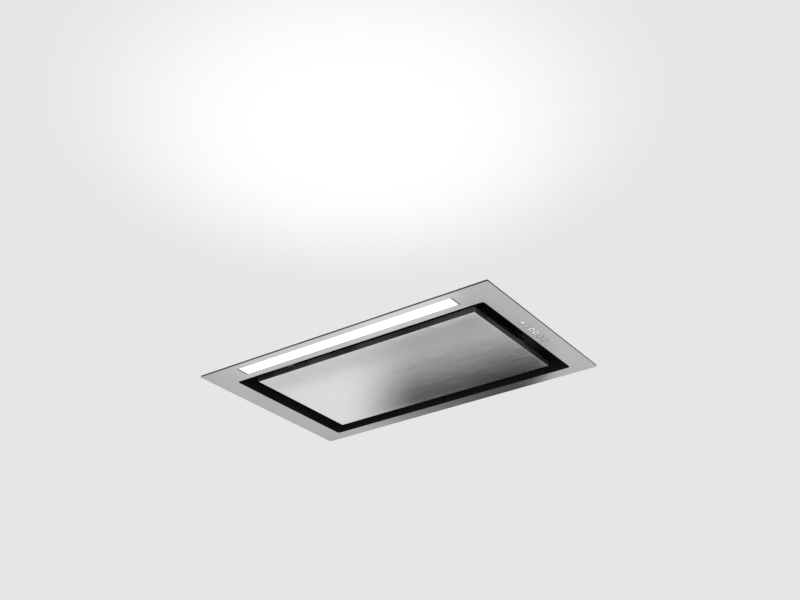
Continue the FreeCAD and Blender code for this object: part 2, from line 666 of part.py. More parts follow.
def panel_backing():
    """The black stiffening plate behind the panel, on ribs that stand on the panel's sheet."""
    side = "(panel_side - panel_sheet - fit_gap)"
    front, back = "(panel_front + panel_sheet + fit_gap)", "(panel_back - panel_sheet - fit_gap)"
    across, under = ("-" + side, side), "panel_top - backing_sheet"
    plate = block("backing_plate", across, (front, back), (under, "panel_top"))
    middles = (f"{front} + backing_rib", f"({front} + {back}) / 2", f"{back} - backing_rib")
    ribs = []
    for i, middle in enumerate(middles):
        reach = (f"{middle} - backing_rib / 2", f"{middle} + backing_rib / 2")
        inside = (f"{reach[0]} + backing_sheet", f"{reach[1]} - backing_sheet")
        solid = block(f"backing_rib_{i}_solid", across, reach, ("panel_floor", under))
        hollow = block(f"backing_rib_{i}_inside", across, inside, ("panel_floor", under))
        ribs.append(cut(f"backing_rib_{i}", solid, hollow))
    piece("panel_backing", fuse("backing", plate, *ribs))


def panel_hinges():
    """Two hinges near the panel's back edge: brackets on the tray's ceiling, pins, and ears on the panel."""
    brackets, pins, ears = [], [], []
    axis = ("hinge_y", "hinge_z")
    inner = "(hinge_ear_width / 2 + fit_gap)"
    cheek_y = ("hinge_y - hinge_ear_radius", "hinge_y + hinge_ear_radius")
    base_y = ("hinge_y - hinge_base", "hinge_y + hinge_base")
    cheek_z = ("hinge_z - hinge_ear_radius", "ceiling - hinge_cheek")
    for i, middle in enumerate(("-hinge_spread", "hinge_spread")):
        ear_x = (f"{middle} - hinge_ear_width / 2", f"{middle} + hinge_ear_width / 2")
        cheek_x = (f"{middle} - {inner} - hinge_cheek", f"{middle} + {inner} + hinge_cheek")
        gap_x = (f"{middle} - {inner}", f"{middle} + {inner}")
        base = block(f"bracket_{i}_base", cheek_x, base_y, ("ceiling - hinge_cheek", "ceiling"))
        cheeks = block(f"bracket_{i}_cheeks", cheek_x, cheek_y, cheek_z)
        gap = block(f"bracket_{i}_gap", gap_x, cheek_y, cheek_z)
        hole = rod(f"bracket_{i}_hole", "x", axis, "hinge_pin_radius + press_gap", cheek_x)
        brackets.append(cut(f"bracket_{i}", fuse(f"bracket_{i}_solid", base, cheeks), gap, hole))
        pins.append(rod(f"hinge_pin_{i}", "x", axis, "hinge_pin_radius", cheek_x))
        post = block(f"ear_{i}_post", ear_x, cheek_y, ("panel_top", "hinge_z"))
        head = rod(f"ear_{i}_head", "x", axis, "hinge_ear_radius", ear_x)
        bore = rod(f"ear_{i}_bore", "x", axis, "hinge_pin_radius + running_gap", ear_x)
        ears.append(cut(f"ear_{i}", fuse(f"ear_{i}_solid", post, head), bore))
    piece("hinge_brackets", group("brackets", *brackets))
    piece("hinge_pins", group("hinge_pin_pair", *pins))
    piece("hinge_ears", group("ears", *ears))


def panel_magnets():
    """Two magnets in holders under the tray's ceiling, which keep the panel's front edge up."""
    holders, magnets = [], []
    for i, middle in enumerate(("-magnet_spread", "magnet_spread")):
        magnet_x = (f"{middle} - magnet_length / 2", f"{middle} + magnet_length / 2")
        magnet_y = ("magnet_y - magnet_width / 2", "magnet_y + magnet_width / 2")
        magnet_z = ("magnet_low", "magnet_low + magnet_height")
        holder_x = (f"{magnet_x[0]} - holder_wall", f"{magnet_x[1]} + holder_wall")
        holder_y = ("magnet_y - holder_half", "magnet_y + holder_half")
        column = block(f"holder_{i}_column", holder_x, holder_y, ("magnet_low + holder_wall", "ceiling"))
        pocket = block(f"holder_{i}_pocket", magnet_x, magnet_y, magnet_z)
        holders.append(cut(f"holder_{i}", column, pocket))
        magnets.append(block(f"magnet_{i}", magnet_x, magnet_y, magnet_z))
    piece("magnet_holders", group("holders", *holders))
    piece("panel_magnets", group("magnets", *magnets))


# Grease filter


def filter_frame():
    """The filter's aluminium frame, with tabs that hang it on the tray and the finger well of its latch."""
    height = ("filter_low", "filter_top")
    bars = block("filter_bars", ("-filter_side", "filter_side"), ("filter_front", "filter_back"), height)
    middle_x = ("filter_bar - filter_side", "filter_side - filter_bar")
    middle = block("filter_middle", middle_x, ("mesh_front", "filter_back - filter_bar"), height)
    well = block("well_outside", ("-well_side", "well_side"), ("mesh_front", "well_back"), height)
    well_hole = block(
        "well_inside",
        ("latch_well_wall - well_side", "well_side - latch_well_wall"),
        ("mesh_front", "well_back - latch_well_wall"),
        height,
    )
    tongue_side = "latch_width / 2 + fit_gap"
    slot = block(
        "latch_slot",
        (f"-({tongue_side})", tongue_side),
        ("filter_front", "mesh_front"),
        ("ceiling_top", "latch_low + latch_sheet + fit_gap"),
    )
    tabs = []
    for i, sign in enumerate(("-", "")):
        tab_middle = f"{sign}filter_side / 2"
        tab_x = (f"{tab_middle} - filter_tab_width / 2", f"{tab_middle} + filter_tab_width / 2")
        tab_z = ("ceiling_top", "ceiling_top + filter_tab_sheet")
        tabs.append(block(f"filter_tab_{i}", tab_x, ("filter_back", "hatch_back + filter_tab"), tab_z))
    rim = cut("filter_rim", bars, middle)
    piece("filter_frame", cut("filter_solid", fuse("filter_sheets", rim, well, *tabs), well_hole, slot))


def filter_mesh():
    """The expanded-metal mesh in the frame: one sheet with staggered rows of diamond gaps."""
    left, right = sizes.filter_bar - datum.filter_side, datum.filter_side - sizes.filter_bar
    front, back = datum.mesh_front, datum.filter_back - sizes.filter_bar
    well, well_end = datum.well_side, datum.well_back
    outline = [(left, front), (-well, front), (-well, well_end), (well, well_end), (well, front)]
    outline += [(right, front), (right, back), (left, back)]
    pitch, half = sizes.mesh_pitch, (sizes.mesh_pitch - sizes.mesh_strand) / 2
    edge = half + sizes.mesh_strand
    rows = int((back - front - 2 * edge) / pitch * 2) + 1
    wires = [loop_wire(outline)]
    for row in range(rows):
        y = (front + back) / 2 + (row - (rows - 1) / 2) * pitch / 2
        columns = int((right - left - 2 * edge) / pitch) + (1 - row % 2)
        for column in range(columns):
            x = (column - (columns - 1) / 2) * pitch
            if abs(x) < well + edge and y < well_end + edge:
                continue
            wires.append(loop_wire([(x - half, y), (x, y - half / 2), (x + half, y), (x, y + half / 2)]))
    face = Part.Face(wires, "Part::FaceMakerBullseye")
    mesh = doc.addObject("Part::Feature", "mesh")
    mesh.Shape = face.extrude(Vector(0, 0, sizes.mesh_sheet))
    bind(mesh, {"Placement.Base.z": "(filter_low + filter_top - mesh_sheet) / 2"})
    piece("filter_mesh", mesh)


def loop_wire(points):
    """A closed flat wire through corners given as pairs of numbers."""
    corners = [Vector(x, y, 0) for x, y in points]
    return Part.makePolygon(corners + corners[:1])


def filter_latch():
    """The sliding latch: a tongue through the filter's front bar, with a finger grip in the well."""
    across = ("-latch_width / 2", "latch_width / 2")
    reach = ("hatch_front - latch_reach", "latch_grip + latch_sheet")
    tongue = block("latch_tongue", across, reach, ("latch_low", "latch_low + latch_sheet"))
    grip_y = ("latch_grip", "latch_grip + latch_sheet")
    grip = block("latch_grip_sheet", across, grip_y, ("filter_low", "latch_low"))
    piece("filter_latch", fuse("latch", tongue, grip))


# Light strip


def light_strip():
    """The light behind the frame's front side: diffuser, housing, board and its row of chips."""
    face_z = ("underside + led_recess", "plate_top")
    face = block("diffuser_face", ("-led_side", "led_side"), ("led_front", "led_back"), face_z)
    rim = "(led_shoulder - fit_gap)"
    rim_x = (f"-led_side - {rim}", f"led_side + {rim}")
    rim_y = (f"led_front - {rim}", f"led_back + {rim}")
    edge = block("diffuser_edge", rim_x, rim_y, ("plate_top", "plate_top + led_flange"))
    piece("led_diffuser", fuse("diffuser", face, edge))
    wall = "(led_shoulder + led_sheet)"
    channel = block(
        "housing_outside",
        (f"-led_side - {wall}", f"led_side + {wall}"),
        (f"led_front - {wall}", f"led_back + {wall}"),
        ("plate_top", "led_top"),
    )
    hollow = block(
        "housing_inside",
        ("-led_side - led_shoulder", "led_side + led_shoulder"),
        ("led_front - led_shoulder", "led_back + led_shoulder"),
        ("plate_top", "led_top - led_sheet"),
    )
    piece("led_housing", cut("light_housing", channel, hollow))
    board_y = ("led_middle - led_board_width / 2", "led_middle + led_board_width / 2")
    board_low, board_top = "led_top - led_sheet - led_board_sheet", "led_top - led_sheet"
    piece("led_board", block("light_board", ("-led_side", "led_side"), board_y, (board_low, board_top)))
    chips = []
    for i in range(LIGHT_CHIP_COUNT):
        middle = f"led_side * {(2 * i + 1 - LIGHT_CHIP_COUNT) / LIGHT_CHIP_COUNT}"
        chip_x = (f"{middle} - led_chip / 2", f"{middle} + led_chip / 2")
        chip_y = ("led_middle - led_chip / 2", "led_middle + led_chip / 2")
        chips.append(block(f"chip_{i}", chip_x, chip_y, (f"{board_low} - led_chip_height", board_low)))
    piece("led_chips", group("chips", *chips))


# Push-buttons


def button_y(number):
    """Where a push-button sits in its row, as an expression."""
    return f"button_middle + {number - (len(BUTTON_NAMES) - 1) / 2} * button_pitch"


def push_button(number, label):
    """A round push-button with a square stop flange, which rests on the frame and keeps it from turning."""
    body = doc.addObject("PartDesign::Body", f"button_body_{number}")
    face = sketch(body, f"button_face_{number}", "XY_Plane", "underside + button_recess")
    circle(face, "0", "0", "button_radius")
    pad(body, face, "plate_top - underside - button_recess")
    stop = sketch(body, f"button_stop_{number}", "XY_Plane", "plate_top")
    rectangle(stop, ("-stop_half", "stop_half"), ("-stop_half", "stop_half"))
    pad(body, stop, "button_flange")
    bind(body, {"Placement.Base.x": "button_x", "Placement.Base.y": button_y(number)})
    piece(label, body)


def keypad():
    """The housing above the buttons, with its board and a key switch over each button."""
    ends = f"({(len(BUTTON_NAMES) - 1) / 2} * button_pitch + keypad_half)"
    span_x = ("button_x - keypad_half", "button_x + keypad_half")
    span_y = (f"button_middle - {ends}", f"button_middle + {ends}")
    room_x = (f"{span_x[0]} + keypad_wall", f"{span_x[1]} - keypad_wall")
    room_y = (f"{span_y[0]} + keypad_wall", f"{span_y[1]} - keypad_wall")
    shell = block("keypad_shell", span_x, span_y, ("plate_top", "switch_top"))
    room = block("keypad_room", room_x, room_y, ("plate_top", "switch_top"))
    piece("keypad_housing", cut("keypad_solid", shell, room))
    piece("keypad_board", block("keypad_card", span_x, span_y, ("switch_top", "switch_top + keypad_board")))
    switches = []
    for i in range(len(BUTTON_NAMES)):
        switch_x = ("button_x - switch_size / 2", "button_x + switch_size / 2")
        switch_y = (f"{button_y(i)} - switch_size / 2", f"{button_y(i)} + switch_size / 2")
        switches.append(block(f"switch_{i}", switch_x, switch_y, ("switch_low", "switch_top")))
    piece("key_switches", group("switches", *switches))


# Casings


def folded_box(body, name, x, y, z):
    """A sheet-steel box, open below, whose four walls are folded down from its top with rounded bends."""
    low, high = z
    outline = sketch(body, name + "_outline", "XY_Plane", low)
    rectangle(outline, x, y)
    solid = pad(body, outline, f"({high}) - ({low})")
    round_edges(body, solid, name + "_folds", "casing_bend", in_level(getattr(datum, high)))
    hollow = sketch(body, name + "_hollow", "XY_Plane", low)
    inner_x = (f"{x[0]} + casing_sheet", f"{x[1]} - casing_sheet")
    rectangle(hollow, inner_x, (f"{y[0]} + casing_sheet", f"{y[1]} - casing_sheet"))
    inside = sink(body, hollow, f"({high}) - ({low}) - casing_sheet")
    inner_top = in_level(getattr(datum, high) - sizes.casing_sheet)
    round_edges(body, inside, name + "_inner_folds", "casing_bend - casing_sheet", inner_top)


def lower_casing():
    """The steel box above the frame: folded down from its top, open below, with foot tabs, the hatch
    under the fan and holes for the cabinet screws."""
    body = doc.addObject("PartDesign::Body", "casing_body")
    across, deep = ("-case_side", "case_side"), ("-case_end", "case_end")
    folded_box(body, "casing", across, deep, ("plate_top", "case_top"))
    tabs = sketch(body, "casing_tabs", "XY_Plane", "plate_top")
    for x, y, half_x, half_y in tab_places():
        rectangle(tabs, (f"{x} - {half_x}", f"{x} + {half_x}"), (f"{y} - {half_y}", f"{y} + {half_y}"))
    pad(body, tabs, "casing_sheet")
    hatch = sketch(body, "casing_hatch", "XY_Plane", "case_top - 2 * casing_sheet")
    hatch_x = ("motor_box_gap - box_side", "box_side - motor_box_gap")
    rectangle(hatch, hatch_x, ("box_front + motor_box_gap", "box_back - motor_box_gap"))
    sink(body, hatch, "3 * casing_sheet")
    holes = sketch(body, "casing_side_holes", "YZ_Plane")
    for y in ("-side_screw_spread / 2", "side_screw_spread / 2"):
        circle(holes, y, "case_top - side_screw_drop", "side_screw_radius")
    pierce(body, holes)
    piece("lower_casing", body)


def pressed_field(body, name, role, wall, reach, way):
    """A field of a motor casing wall pressed out of its plane, raised outside and hollow inside."""
    height = ("case_top + field_inset", "box_top - field_inset")
    field = sketch(body, name, role, wall)
    rectangle(field, reach, height)
    pad(body, field, "field_height").Reversed = way < 0
    inside = sketch(body, name + "_inside", role, f"{wall} - {way} * casing_sheet")
    inner_height = (f"{height[0]} + casing_sheet", f"{height[1]} - casing_sheet")
    rectangle(inside, (f"{reach[0]} + casing_sheet", f"{reach[1]} - casing_sheet"), inner_height)
    sink(body, inside, "field_height").Reversed = way > 0


def motor_casing():
    """The steel box over the fan: folded down from its top, with a foot flange, pressed stiffening fields
    in its walls and a round hole under the outlet collar."""
    body = doc.addObject("PartDesign::Body", "box_body")
    folded_box(body, "box", ("-box_side", "box_side"), ("box_front", "box_back"), ("case_top", "box_top"))
    foot = sketch(body, "box_foot", "XY_Plane", "case_top")
    foot_x = ("-box_side - motor_box_flange", "box_side + motor_box_flange")
    rectangle(foot, foot_x, ("box_front - motor_box_flange", "box_back + motor_box_flange"))
    inner_x = ("casing_sheet - box_side", "box_side - casing_sheet")
    rectangle(foot, inner_x, ("box_front + casing_sheet", "box_back - casing_sheet"))
    pad(body, foot, "casing_sheet")
    wide = ("field_inset - box_side", "box_side - field_inset")
    deep = ("box_front + field_inset", "box_back - field_inset")
    pressed_field(body, "box_field_front", "XZ_Plane", "-box_front", wide, 1)
    pressed_field(body, "box_field_right", "YZ_Plane", "box_side", deep, 1)
    pressed_field(body, "box_field_back", "XZ_Plane", "-box_back", wide, -1)
    pressed_field(body, "box_field_left", "YZ_Plane", "-box_side", deep, -1)
    outlet = sketch(body, "box_outlet", "XY_Plane", "outlet_z")
    circle(outlet, "0", "duct_y", "spigot_bore")
    sink(body, outlet, "2 * casing_sheet")
    piece("motor_casing", body)


# Outlet collar and its flaps


def outlet_collar():
    """The duct outlet: a round spigot on a square flange, whose inner edge is the ledge under the flaps."""
    body = doc.addObject("PartDesign::Body", "collar_body")
    flange = sketch(body, "collar_flange_outline", "XY_Plane")
    across = ("-collar_half", "collar_half")
    rounded_rectangle(flange, across, across, "collar_corner")
    circle(flange, "0", "0", "spigot_bore - collar_seat")
    pad(body, flange, "collar_sheet")
    tube = sketch(body, "collar_tube", "XY_Plane")
    circle(tube, "0", "0", "spigot_radius")
    circle(tube, "0", "0", "spigot_bore")
    pad(body, tube, "spigot_height")
    pin_hole = sketch(body, "collar_pin_hole", "YZ_Plane")
    circle(pin_hole, "0", "flap_axis - box_top", "flap_pin_radius + press_gap")
    pierce(body, pin_hole)
    bind(body, {"Placement.Base.y": "duct_y", "Placement.Base.z": "box_top"})
    piece("outlet_collar", body)


def flap(label, way, span):
    """One half-round flap, ahead of the pin or behind it: a plate that lies on the collar's ledge, hung on
    its own half of the pin by a long knuckle."""
    name = label.replace("outlet_", "")
    height = ("flap_low", "flap_low + flap_sheet")
    near, far = f"duct_y {way} (knuckle_radius + knuckle_clear)", f"duct_y {way} spigot_bore"
    keep_y, web_y = (near, far), ("duct_y", near)
    if way == "-":
        keep_y, web_y = (far, near), (near, "duct_y")
    disc = rod(f"{name}_disc", "z", ("0", "duct_y"), "spigot_bore - flap_gap", height)
    keep = block(f"{name}_half", ("-spigot_bore", "spigot_bore"), keep_y, height)
    plate = doc.addObject("Part::Common", f"{name}_plate")
    plate.Base = disc
    plate.Tool = keep
    axis = ("duct_y", "flap_axis")
    knuckle = rod(f"{name}_knuckle", "x", axis, "knuckle_radius", span)
    web = block(f"{name}_web", span, web_y, height)
    bore = rod(f"{name}_bore", "x", axis, "flap_pin_radius + running_gap", span)
    piece(label, cut(f"{name}_solid", fuse(f"{name}_sheets", plate, knuckle, web), bore))


def outlet_flaps():
    """The two non-return flaps, which meet on one pin across the collar."""
    near, far = "knuckle_space / 2", "knuckle_space / 2 + knuckle_length"
    flap("outlet_flap_front", "-", (f"-({far})", f"-({near})"))
    flap("outlet_flap_back", "+", (near, far))
    reach = ("fit_gap - spigot_radius", "spigot_radius - fit_gap")
    piece("flap_pin", rod("flap_rod", "x", ("duct_y", "flap_axis"), "flap_pin_radius", reach))


# Fan: scroll, impeller and motor


def scroll_outline(grow):
    """The scroll's outline in its own plane, moved out by grow: three quarter arcs whose radius steps
    up from centre to centre, the first one starting at the tongue, and the straight outlet neck."""
    step, radius = sizes.scroll_step, datum.scroll_r1 + grow
    half = step / 2
    tongue_y = datum.scroll_right - sizes.neck_width - grow
    right, top = datum.scroll_right + grow, sizes.scroll_rise
    first = math.acos((tongue_y + half) / radius)
    arcs = [((-half, -half), radius, first, math.pi)]
    arcs.append(((half, -half), radius + step, math.pi, 1.5 * math.pi))
    arcs.append(((half, half), radius + 2 * step, 1.5 * math.pi, 2 * math.pi))
    edges = []
    for (cy, cz), r, start, end in arcs:
        turns = (start, (start + end) / 2, end)
        spots = [Vector(0, cy + r * math.cos(t), cz + r * math.sin(t)) for t in turns]
        edges.append(Part.Arc(*spots).toShape())
    begin, finish = edges[0].Vertexes[0].Point, edges[-1].Vertexes[-1].Point
    corners = [finish, Vector(0, right, top), Vector(0, tongue_y, top), begin]
    for a, b in zip(corners, corners[1:]):
        edges.append(Part.LineSegment(a, b).toShape())
    return Part.Face(Part.Wire(Part.__sortEdges__(edges)))


def along_x(face, start, end):
    """A face of the scroll's plane raised along the shaft, from start to end."""
    moved = face.copy()
    moved.translate(Vector(start, 0, 0))
    return moved.extrude(Vector(end - start, 0, 0))


def disc_x(radius, start, end):
    """A round bar on the shaft's axis."""
    return Part.makeCylinder(radius, end - start, Vector(start, 0, 0), Vector(1, 0, 0))


def round_shaft(shape, number):
    """A shape of the bracket turned to one of its three arms."""
    shape.rotate(Vector(), Vector(1, 0, 0), 90 + 120 * number)
    return shape


def motor_posts():
    """Three square posts on the scroll's side wall, which carry the motor bracket's arms."""
    width = sizes.post_width
    corner = Vector(datum.scroll_half, sizes.spider_reach - width / 2, -width / 2)
    length = datum.motor_end - datum.scroll_half
    return [round_shaft(Part.makeBox(length, width, width, corner), i) for i in range(3)]


def scroll_half(side):
    """One moulded half of the scroll: side wall with a flared inlet, spiral wall and half the outlet
    flange. The half on the motor's side also has the posts of the motor bracket."""
    wall, inner = sizes.scroll_wall, datum.scroll_half
    low, high = (0.0, inner + wall) if side > 0 else (-inner - wall, 0.0)
    room = (0.0, inner) if side > 0 else (-inner, 0.0)
    shell = along_x(scroll_outline(wall), low, high)
    front = datum.scroll_right - sizes.neck_width - wall - sizes.scroll_flange
    back = datum.scroll_right + wall + sizes.scroll_flange
    flange_low = min(0.0, side * (inner + wall + sizes.scroll_flange))
    corner = Vector(flange_low, front, sizes.scroll_rise - sizes.scroll_flange_sheet)
    flange = Part.makeBox(inner + wall + sizes.scroll_flange, back - front, sizes.scroll_flange_sheet, corner)
    outward, length = Vector(side, 0, 0), wall + sizes.inlet_lip
    start, mouth = Vector(side * inner, 0, 0), sizes.inlet_radius + sizes.inlet_lip
    lip = Part.makeCylinder(mouth + wall, length, start, outward)
    flare = Part.makeCone(sizes.inlet_radius, mouth, length, start, outward)
    posts = motor_posts() if side > 0 else []
    solid = shell.fuse([flange, lip] + posts)
    return solid.cut([along_x(scroll_outline(0.0), *room), flare]).removeSplitter()


def at_fan(name, shape):
    """A shape made round the shaft's axis, put where the fan is."""
    thing = doc.addObject("Part::Feature", name)
    thing.Shape = shape
    bind(thing, {"Placement.Base.y": "fan_y", "Placement.Base.z": "fan_z"})
    return thing


def fan_scroll():
    """The two halves of the scroll, which meet in the middle of the impeller."""
    piece("scroll_left", at_fan("scroll_half_left", scroll_half(-1)))
    piece("scroll_right", at_fan("scroll_half_right", scroll_half(1)))


def impeller_blade():
    """One forward-curved blade, folded from flat strips along an arc and as thick as its sheet."""
    inner = sizes.impeller_radius - sizes.impeller_ring + sizes.blade_inset
    outer = sizes.impeller_radius - sizes.blade_inset
    sweep, strips = math.radians(sizes.blade_sweep), int(sizes.blade_strips)
    thick = sizes.blade_sheet / inner
    curve = []
    for i in range(strips + 1):
        share = i / strips
        bulge = 4 * share * (1 - share) * sizes.blade_bulge / inner
        curve.append((inner + share * (outer - inner), share * sweep - bulge))
    outline = curve + [(radius, angle + thick) for radius, angle in reversed(curve)]
    corners = [Vector(0, radius * math.cos(angle), radius * math.sin(angle)) for radius, angle in outline]
    half = sizes.impeller_width / 2 - sizes.impeller_rim
    return along_x(Part.Face(Part.makePolygon(corners + corners[:1])), -half, half)


def impeller():
    """The double-inlet fan wheel: blades between two end rings, carried by a disc and hub."""
    half, radius = sizes.impeller_width / 2, sizes.impeller_radius
    inner = radius - sizes.impeller_ring
    rim = sizes.impeller_rim
    rings = [disc_x(radius, a, a + rim).cut(disc_x(inner, a, a + rim)) for a in (-half, half - rim)]
    disc = disc_x(radius, -sizes.impeller_disc, 0.0)
    hub = disc_x(sizes.impeller_hub_radius, -sizes.impeller_hub_length, 0.0)
    blade = impeller_blade()
    blades = []
    for i in range(int(sizes.blade_count)):
        turned = blade.copy()
        turned.rotate(Vector(), Vector(1, 0, 0), 360.0 * i / sizes.blade_count)
        blades.append(turned)
    wheel = rings[0].fuse([rings[1], disc, hub] + blades).removeSplitter()
    bore = disc_x(sizes.shaft_radius, -sizes.impeller_hub_length, 0.0)
    piece("impeller", at_fan("fan_wheel", wheel.cut(bore)))


def fan_motor():
    """The closed motor inside the impeller, with a bearing boss at its back end, and its shaft."""
    shaft_span = ("-impeller_hub_length - shaft_overhang", "motor_end + boss_length + shaft_overhang")
    piece("motor_shaft", rod("shaft", "x", ("fan_y", "fan_z"), "shaft_radius", shaft_span))
    body = doc.addObject("PartDesign::Body", "motor_body")
    profile = sketch(body, "motor_profile", "XZ_Plane")
    bore, boss_end = "shaft_radius + running_gap", "motor_end + boss_length"
    corners = [("motor_start", bore), ("motor_start", "motor_radius"), ("motor_end", "motor_radius")]
    corners += [("motor_end", "bearing_radius"), (boss_end, "bearing_radius"), (boss_end, bore)]
    polygon(profile, corners)
    revolve(body, profile, "H_Axis")
    bind(body, {"Placement.Base.y": "fan_y", "Placement.Base.z": "fan_z"})
    piece("motor_can", body)


def motor_bracket():
    """The three-armed bracket that carries the motor on the scroll's posts."""
    start, end = datum.motor_end, datum.motor_end + sizes.spider_sheet
    corner = Vector(start, 0, -sizes.spider_arm / 2)
    length = sizes.spider_reach + sizes.post_width / 2
    arms = [Part.makeBox(sizes.spider_sheet, length, sizes.spider_arm, corner) for i in range(3)]
    arms = [round_shaft(arm, i) for i, arm in enumerate(arms)]
    middle = disc_x(sizes.spider_ring, start, end)
    hole = disc_x(sizes.bearing_radius + sizes.press_gap, start, end)
    piece("motor_spider", at_fan("spider", middle.fuse(arms).cut(hole).removeSplitter()))


# Electrical pieces on top of the lower casing


def control_box():
    """The plastic box of the electronics beside the fan: a rounded tub, its lid, the board on two rails
    and the board's relays and transformer."""
    body = doc.addObject("PartDesign::Body", "control_body")
    box_x, box_y = ("control_left", "control_right"), ("-control_front", "control_back")
    outline = sketch(body, "control_outline", "XY_Plane", "case_top")
    rounded_rectangle(outline, box_x, box_y, "control_corner")
    tub = pad(body, outline, "control_height")
    shell_out(body, tub, "control_shell", "control_wall", datum.control_top)
    rails = sketch(body, "control_rails", "XY_Plane", "case_top")
    rail_y = ("2 * control_wall - control_front", "control_back - 2 * control_wall")
    for start in ("control_left + 3 * control_wall", "control_right - 3 * control_wall - control_rail"):
        rectangle(rails, (start, f"{start} + control_rail"), rail_y)
    pad(body, rails, "control_wall + control_rail")
    gland_hole = sketch(body, "control_gland_hole", "XZ_Plane", "control_wall - control_back")
    circle(gland_hole, "control_middle", "gland_z", "gland_thread + press_gap")
    sink(body, gland_hole, "2 * control_wall").Reversed = False
    piece("control_box", body)
    cover = doc.addObject("PartDesign::Body", "lid_body")
    sheet = sketch(cover, "lid_outline", "XY_Plane", "control_top")
    rounded_rectangle(sheet, box_x, box_y, "control_corner")
    pad(cover, sheet, "control_wall")
    piece("control_lid", cover)
    board_x = ("control_left + control_wall + board_inset", "control_right - control_wall - board_inset")
    board_front = "control_wall + board_inset - control_front"
    board_back = "control_back - control_wall - gland_inside - board_inset"
    board_low = "(case_top + control_wall + control_rail)"
    board_top = f"({board_low} + board_sheet)"
    piece("control_board", block("control_card", board_x, (board_front, board_back), (board_low, board_top)))
    parts_z = (board_top, f"{board_top} + relay_height")
    relay_y = ("-(control_front + relay_length) / 2", "-(control_front - relay_length) / 2")
    parts = []
    for i in (-1, 0, 1):
        middle = f"control_middle + {i} * control_width / 4"
        relay_x = (f"{middle} - relay_width / 2", f"{middle} + relay_width / 2")
        parts.append(block(f"relay_{i + 1}", relay_x, relay_y, parts_z))
    core_x = ("control_middle - relay_length", "control_middle + relay_length")
    parts.append(block("transformer", core_x, ("-relay_width", "relay_width"), parts_z))
    piece("board_parts", group("board_part_set", *parts))


def cable_gland():
    """The gland in the control box's back wall, through which the supply cable enters."""
    axis = ("control_middle", "gland_z")
    head = doc.addObject("Part::Prism", "gland_hexagon")
    head.Polygon = 6
    head.Placement = FreeCAD.Placement(Vector(), ALONG["y"])
    bind(head, {"Circumradius": "gland_head", "Height": "gland_head_length"})
    bind(head, {"Placement.Base.x": axis[0], "Placement.Base.y": "control_back", "Placement.Base.z": axis[1]})
    thread_span = ("control_back - control_wall - gland_inside", "control_back")
    thread = rod("gland_thread_bar", "y", axis, "gland_thread", thread_span)
    bore_span = (thread_span[0], "control_back + gland_head_length")
    bore = rod("gland_bore_bar", "y", axis, "gland_bore", bore_span)
    piece("cable_gland", cut("gland", fuse("gland_solid", head, thread), bore))


def left_side_pieces():
    """The light's driver with its screw ears, and the motor's capacitor with its clip, left of the fan."""
    body = doc.addObject("PartDesign::Body", "driver_body")
    ears = sketch(body, "driver_ears", "XY_Plane", "case_top")
    driver_y = ("-control_front", "driver_depth - control_front")
    rectangle(ears, ("left_middle - driver_width / 2", "left_middle + driver_width / 2"), driver_y)
    pad(body, ears, "driver_ear_sheet")
    case_half = "(driver_width / 2 - driver_ear)"
    case = sketch(body, "driver_case", "XY_Plane", "case_top")
    rectangle(case, (f"left_middle - {case_half}", f"left_middle + {case_half}"), driver_y)
    raised = pad(body, case, "driver_height")
    round_edges(body, raised, "driver_edges", "driver_bend", in_level(datum.case_top + sizes.driver_height))
    piece("led_driver", body)
    can = doc.addObject("PartDesign::Body", "capacitor_body")
    outline = sketch(can, "capacitor_outline", "XZ_Plane")
    circle(outline, "0", "0", "capacitor_radius")
    pad(can, outline, "capacitor_length").Reversed = True
    blades = sketch(can, "capacitor_blades", "XZ_Plane", "-capacitor_length")
    for side in ("-", ""):
        spot = f"{side}capacitor_radius / 3"
        blade_z = ("-terminal_sheet / 2", "terminal_sheet / 2")
        rectangle(blades, (f"{spot} - terminal / 2", f"{spot} + terminal / 2"), blade_z)
    pad(can, blades, "terminal_length").Reversed = True
    bind(can, {"Placement.Base.x": "left_middle", "Placement.Base.y": "-capacitor_front"})
    bind(can, {"Placement.Base.z": "capacitor_z"})
    piece("run_capacitor", can)
    middle, inner = "(capacitor_length / 2 - capacitor_front)", "(capacitor_radius + fit_gap)"
    clip_y = (f"{middle} - clip_width / 2", f"{middle} + clip_width / 2")
    outer, top = f"({inner} + clip_sheet)", f"(capacitor_z + {inner})"
    feet_x = (f"left_middle - {outer} - clip_foot", f"left_middle + {outer} + clip_foot")
    feet = block("clip_feet", feet_x, clip_y, ("case_top", "case_top + clip_sheet"))
    bow_x = (f"left_middle - {outer}", f"left_middle + {outer}")
    bow = block("clip_bow", bow_x, clip_y, ("case_top", f"{top} + clip_sheet"))
    bed_x = (f"left_middle - {inner}", f"left_middle + {inner}")
    bed = block("clip_bed", bed_x, clip_y, ("case_top", top))
    piece("capacitor_clip", cut("clip", fuse("clip_solid", feet, bow), bed))


# Assembly


def build():
    """Makes every sub-part of the hood."""
    bottom_frame()
    cabinet_seal()
    inlet_tray()
    suction_panel()
    panel_backing()
    panel_hinges()
    panel_magnets()
    filter_frame()
    filter_mesh()
    filter_latch()
    light_strip()
    for number, label in enumerate(BUTTON_NAMES):
        push_button(number, label)
    keypad()
    lower_casing()
    motor_casing()
    outlet_collar()
    outlet_flaps()
    fan_scroll()
    impeller()
    fan_motor()
    motor_bracket()
    control_box()
    cable_gland()
    left_side_pieces()
    doc.recompute()


def check():
    """Stops if any object of the document failed or a sub-part has no sound shape."""
    for thing in doc.Objects:
        if "Invalid" in thing.State or "Error" in thing.State:
            raise RuntimeError(f"{thing.Name} ({thing.Label}) failed: {thing.State}")
    for thing in pieces:
        if thing.Shape.isNull() or not thing.Shape.isValid() or not thing.Shape.Solids:
            raise RuntimeError(f"{thing.Label} has no sound shape")


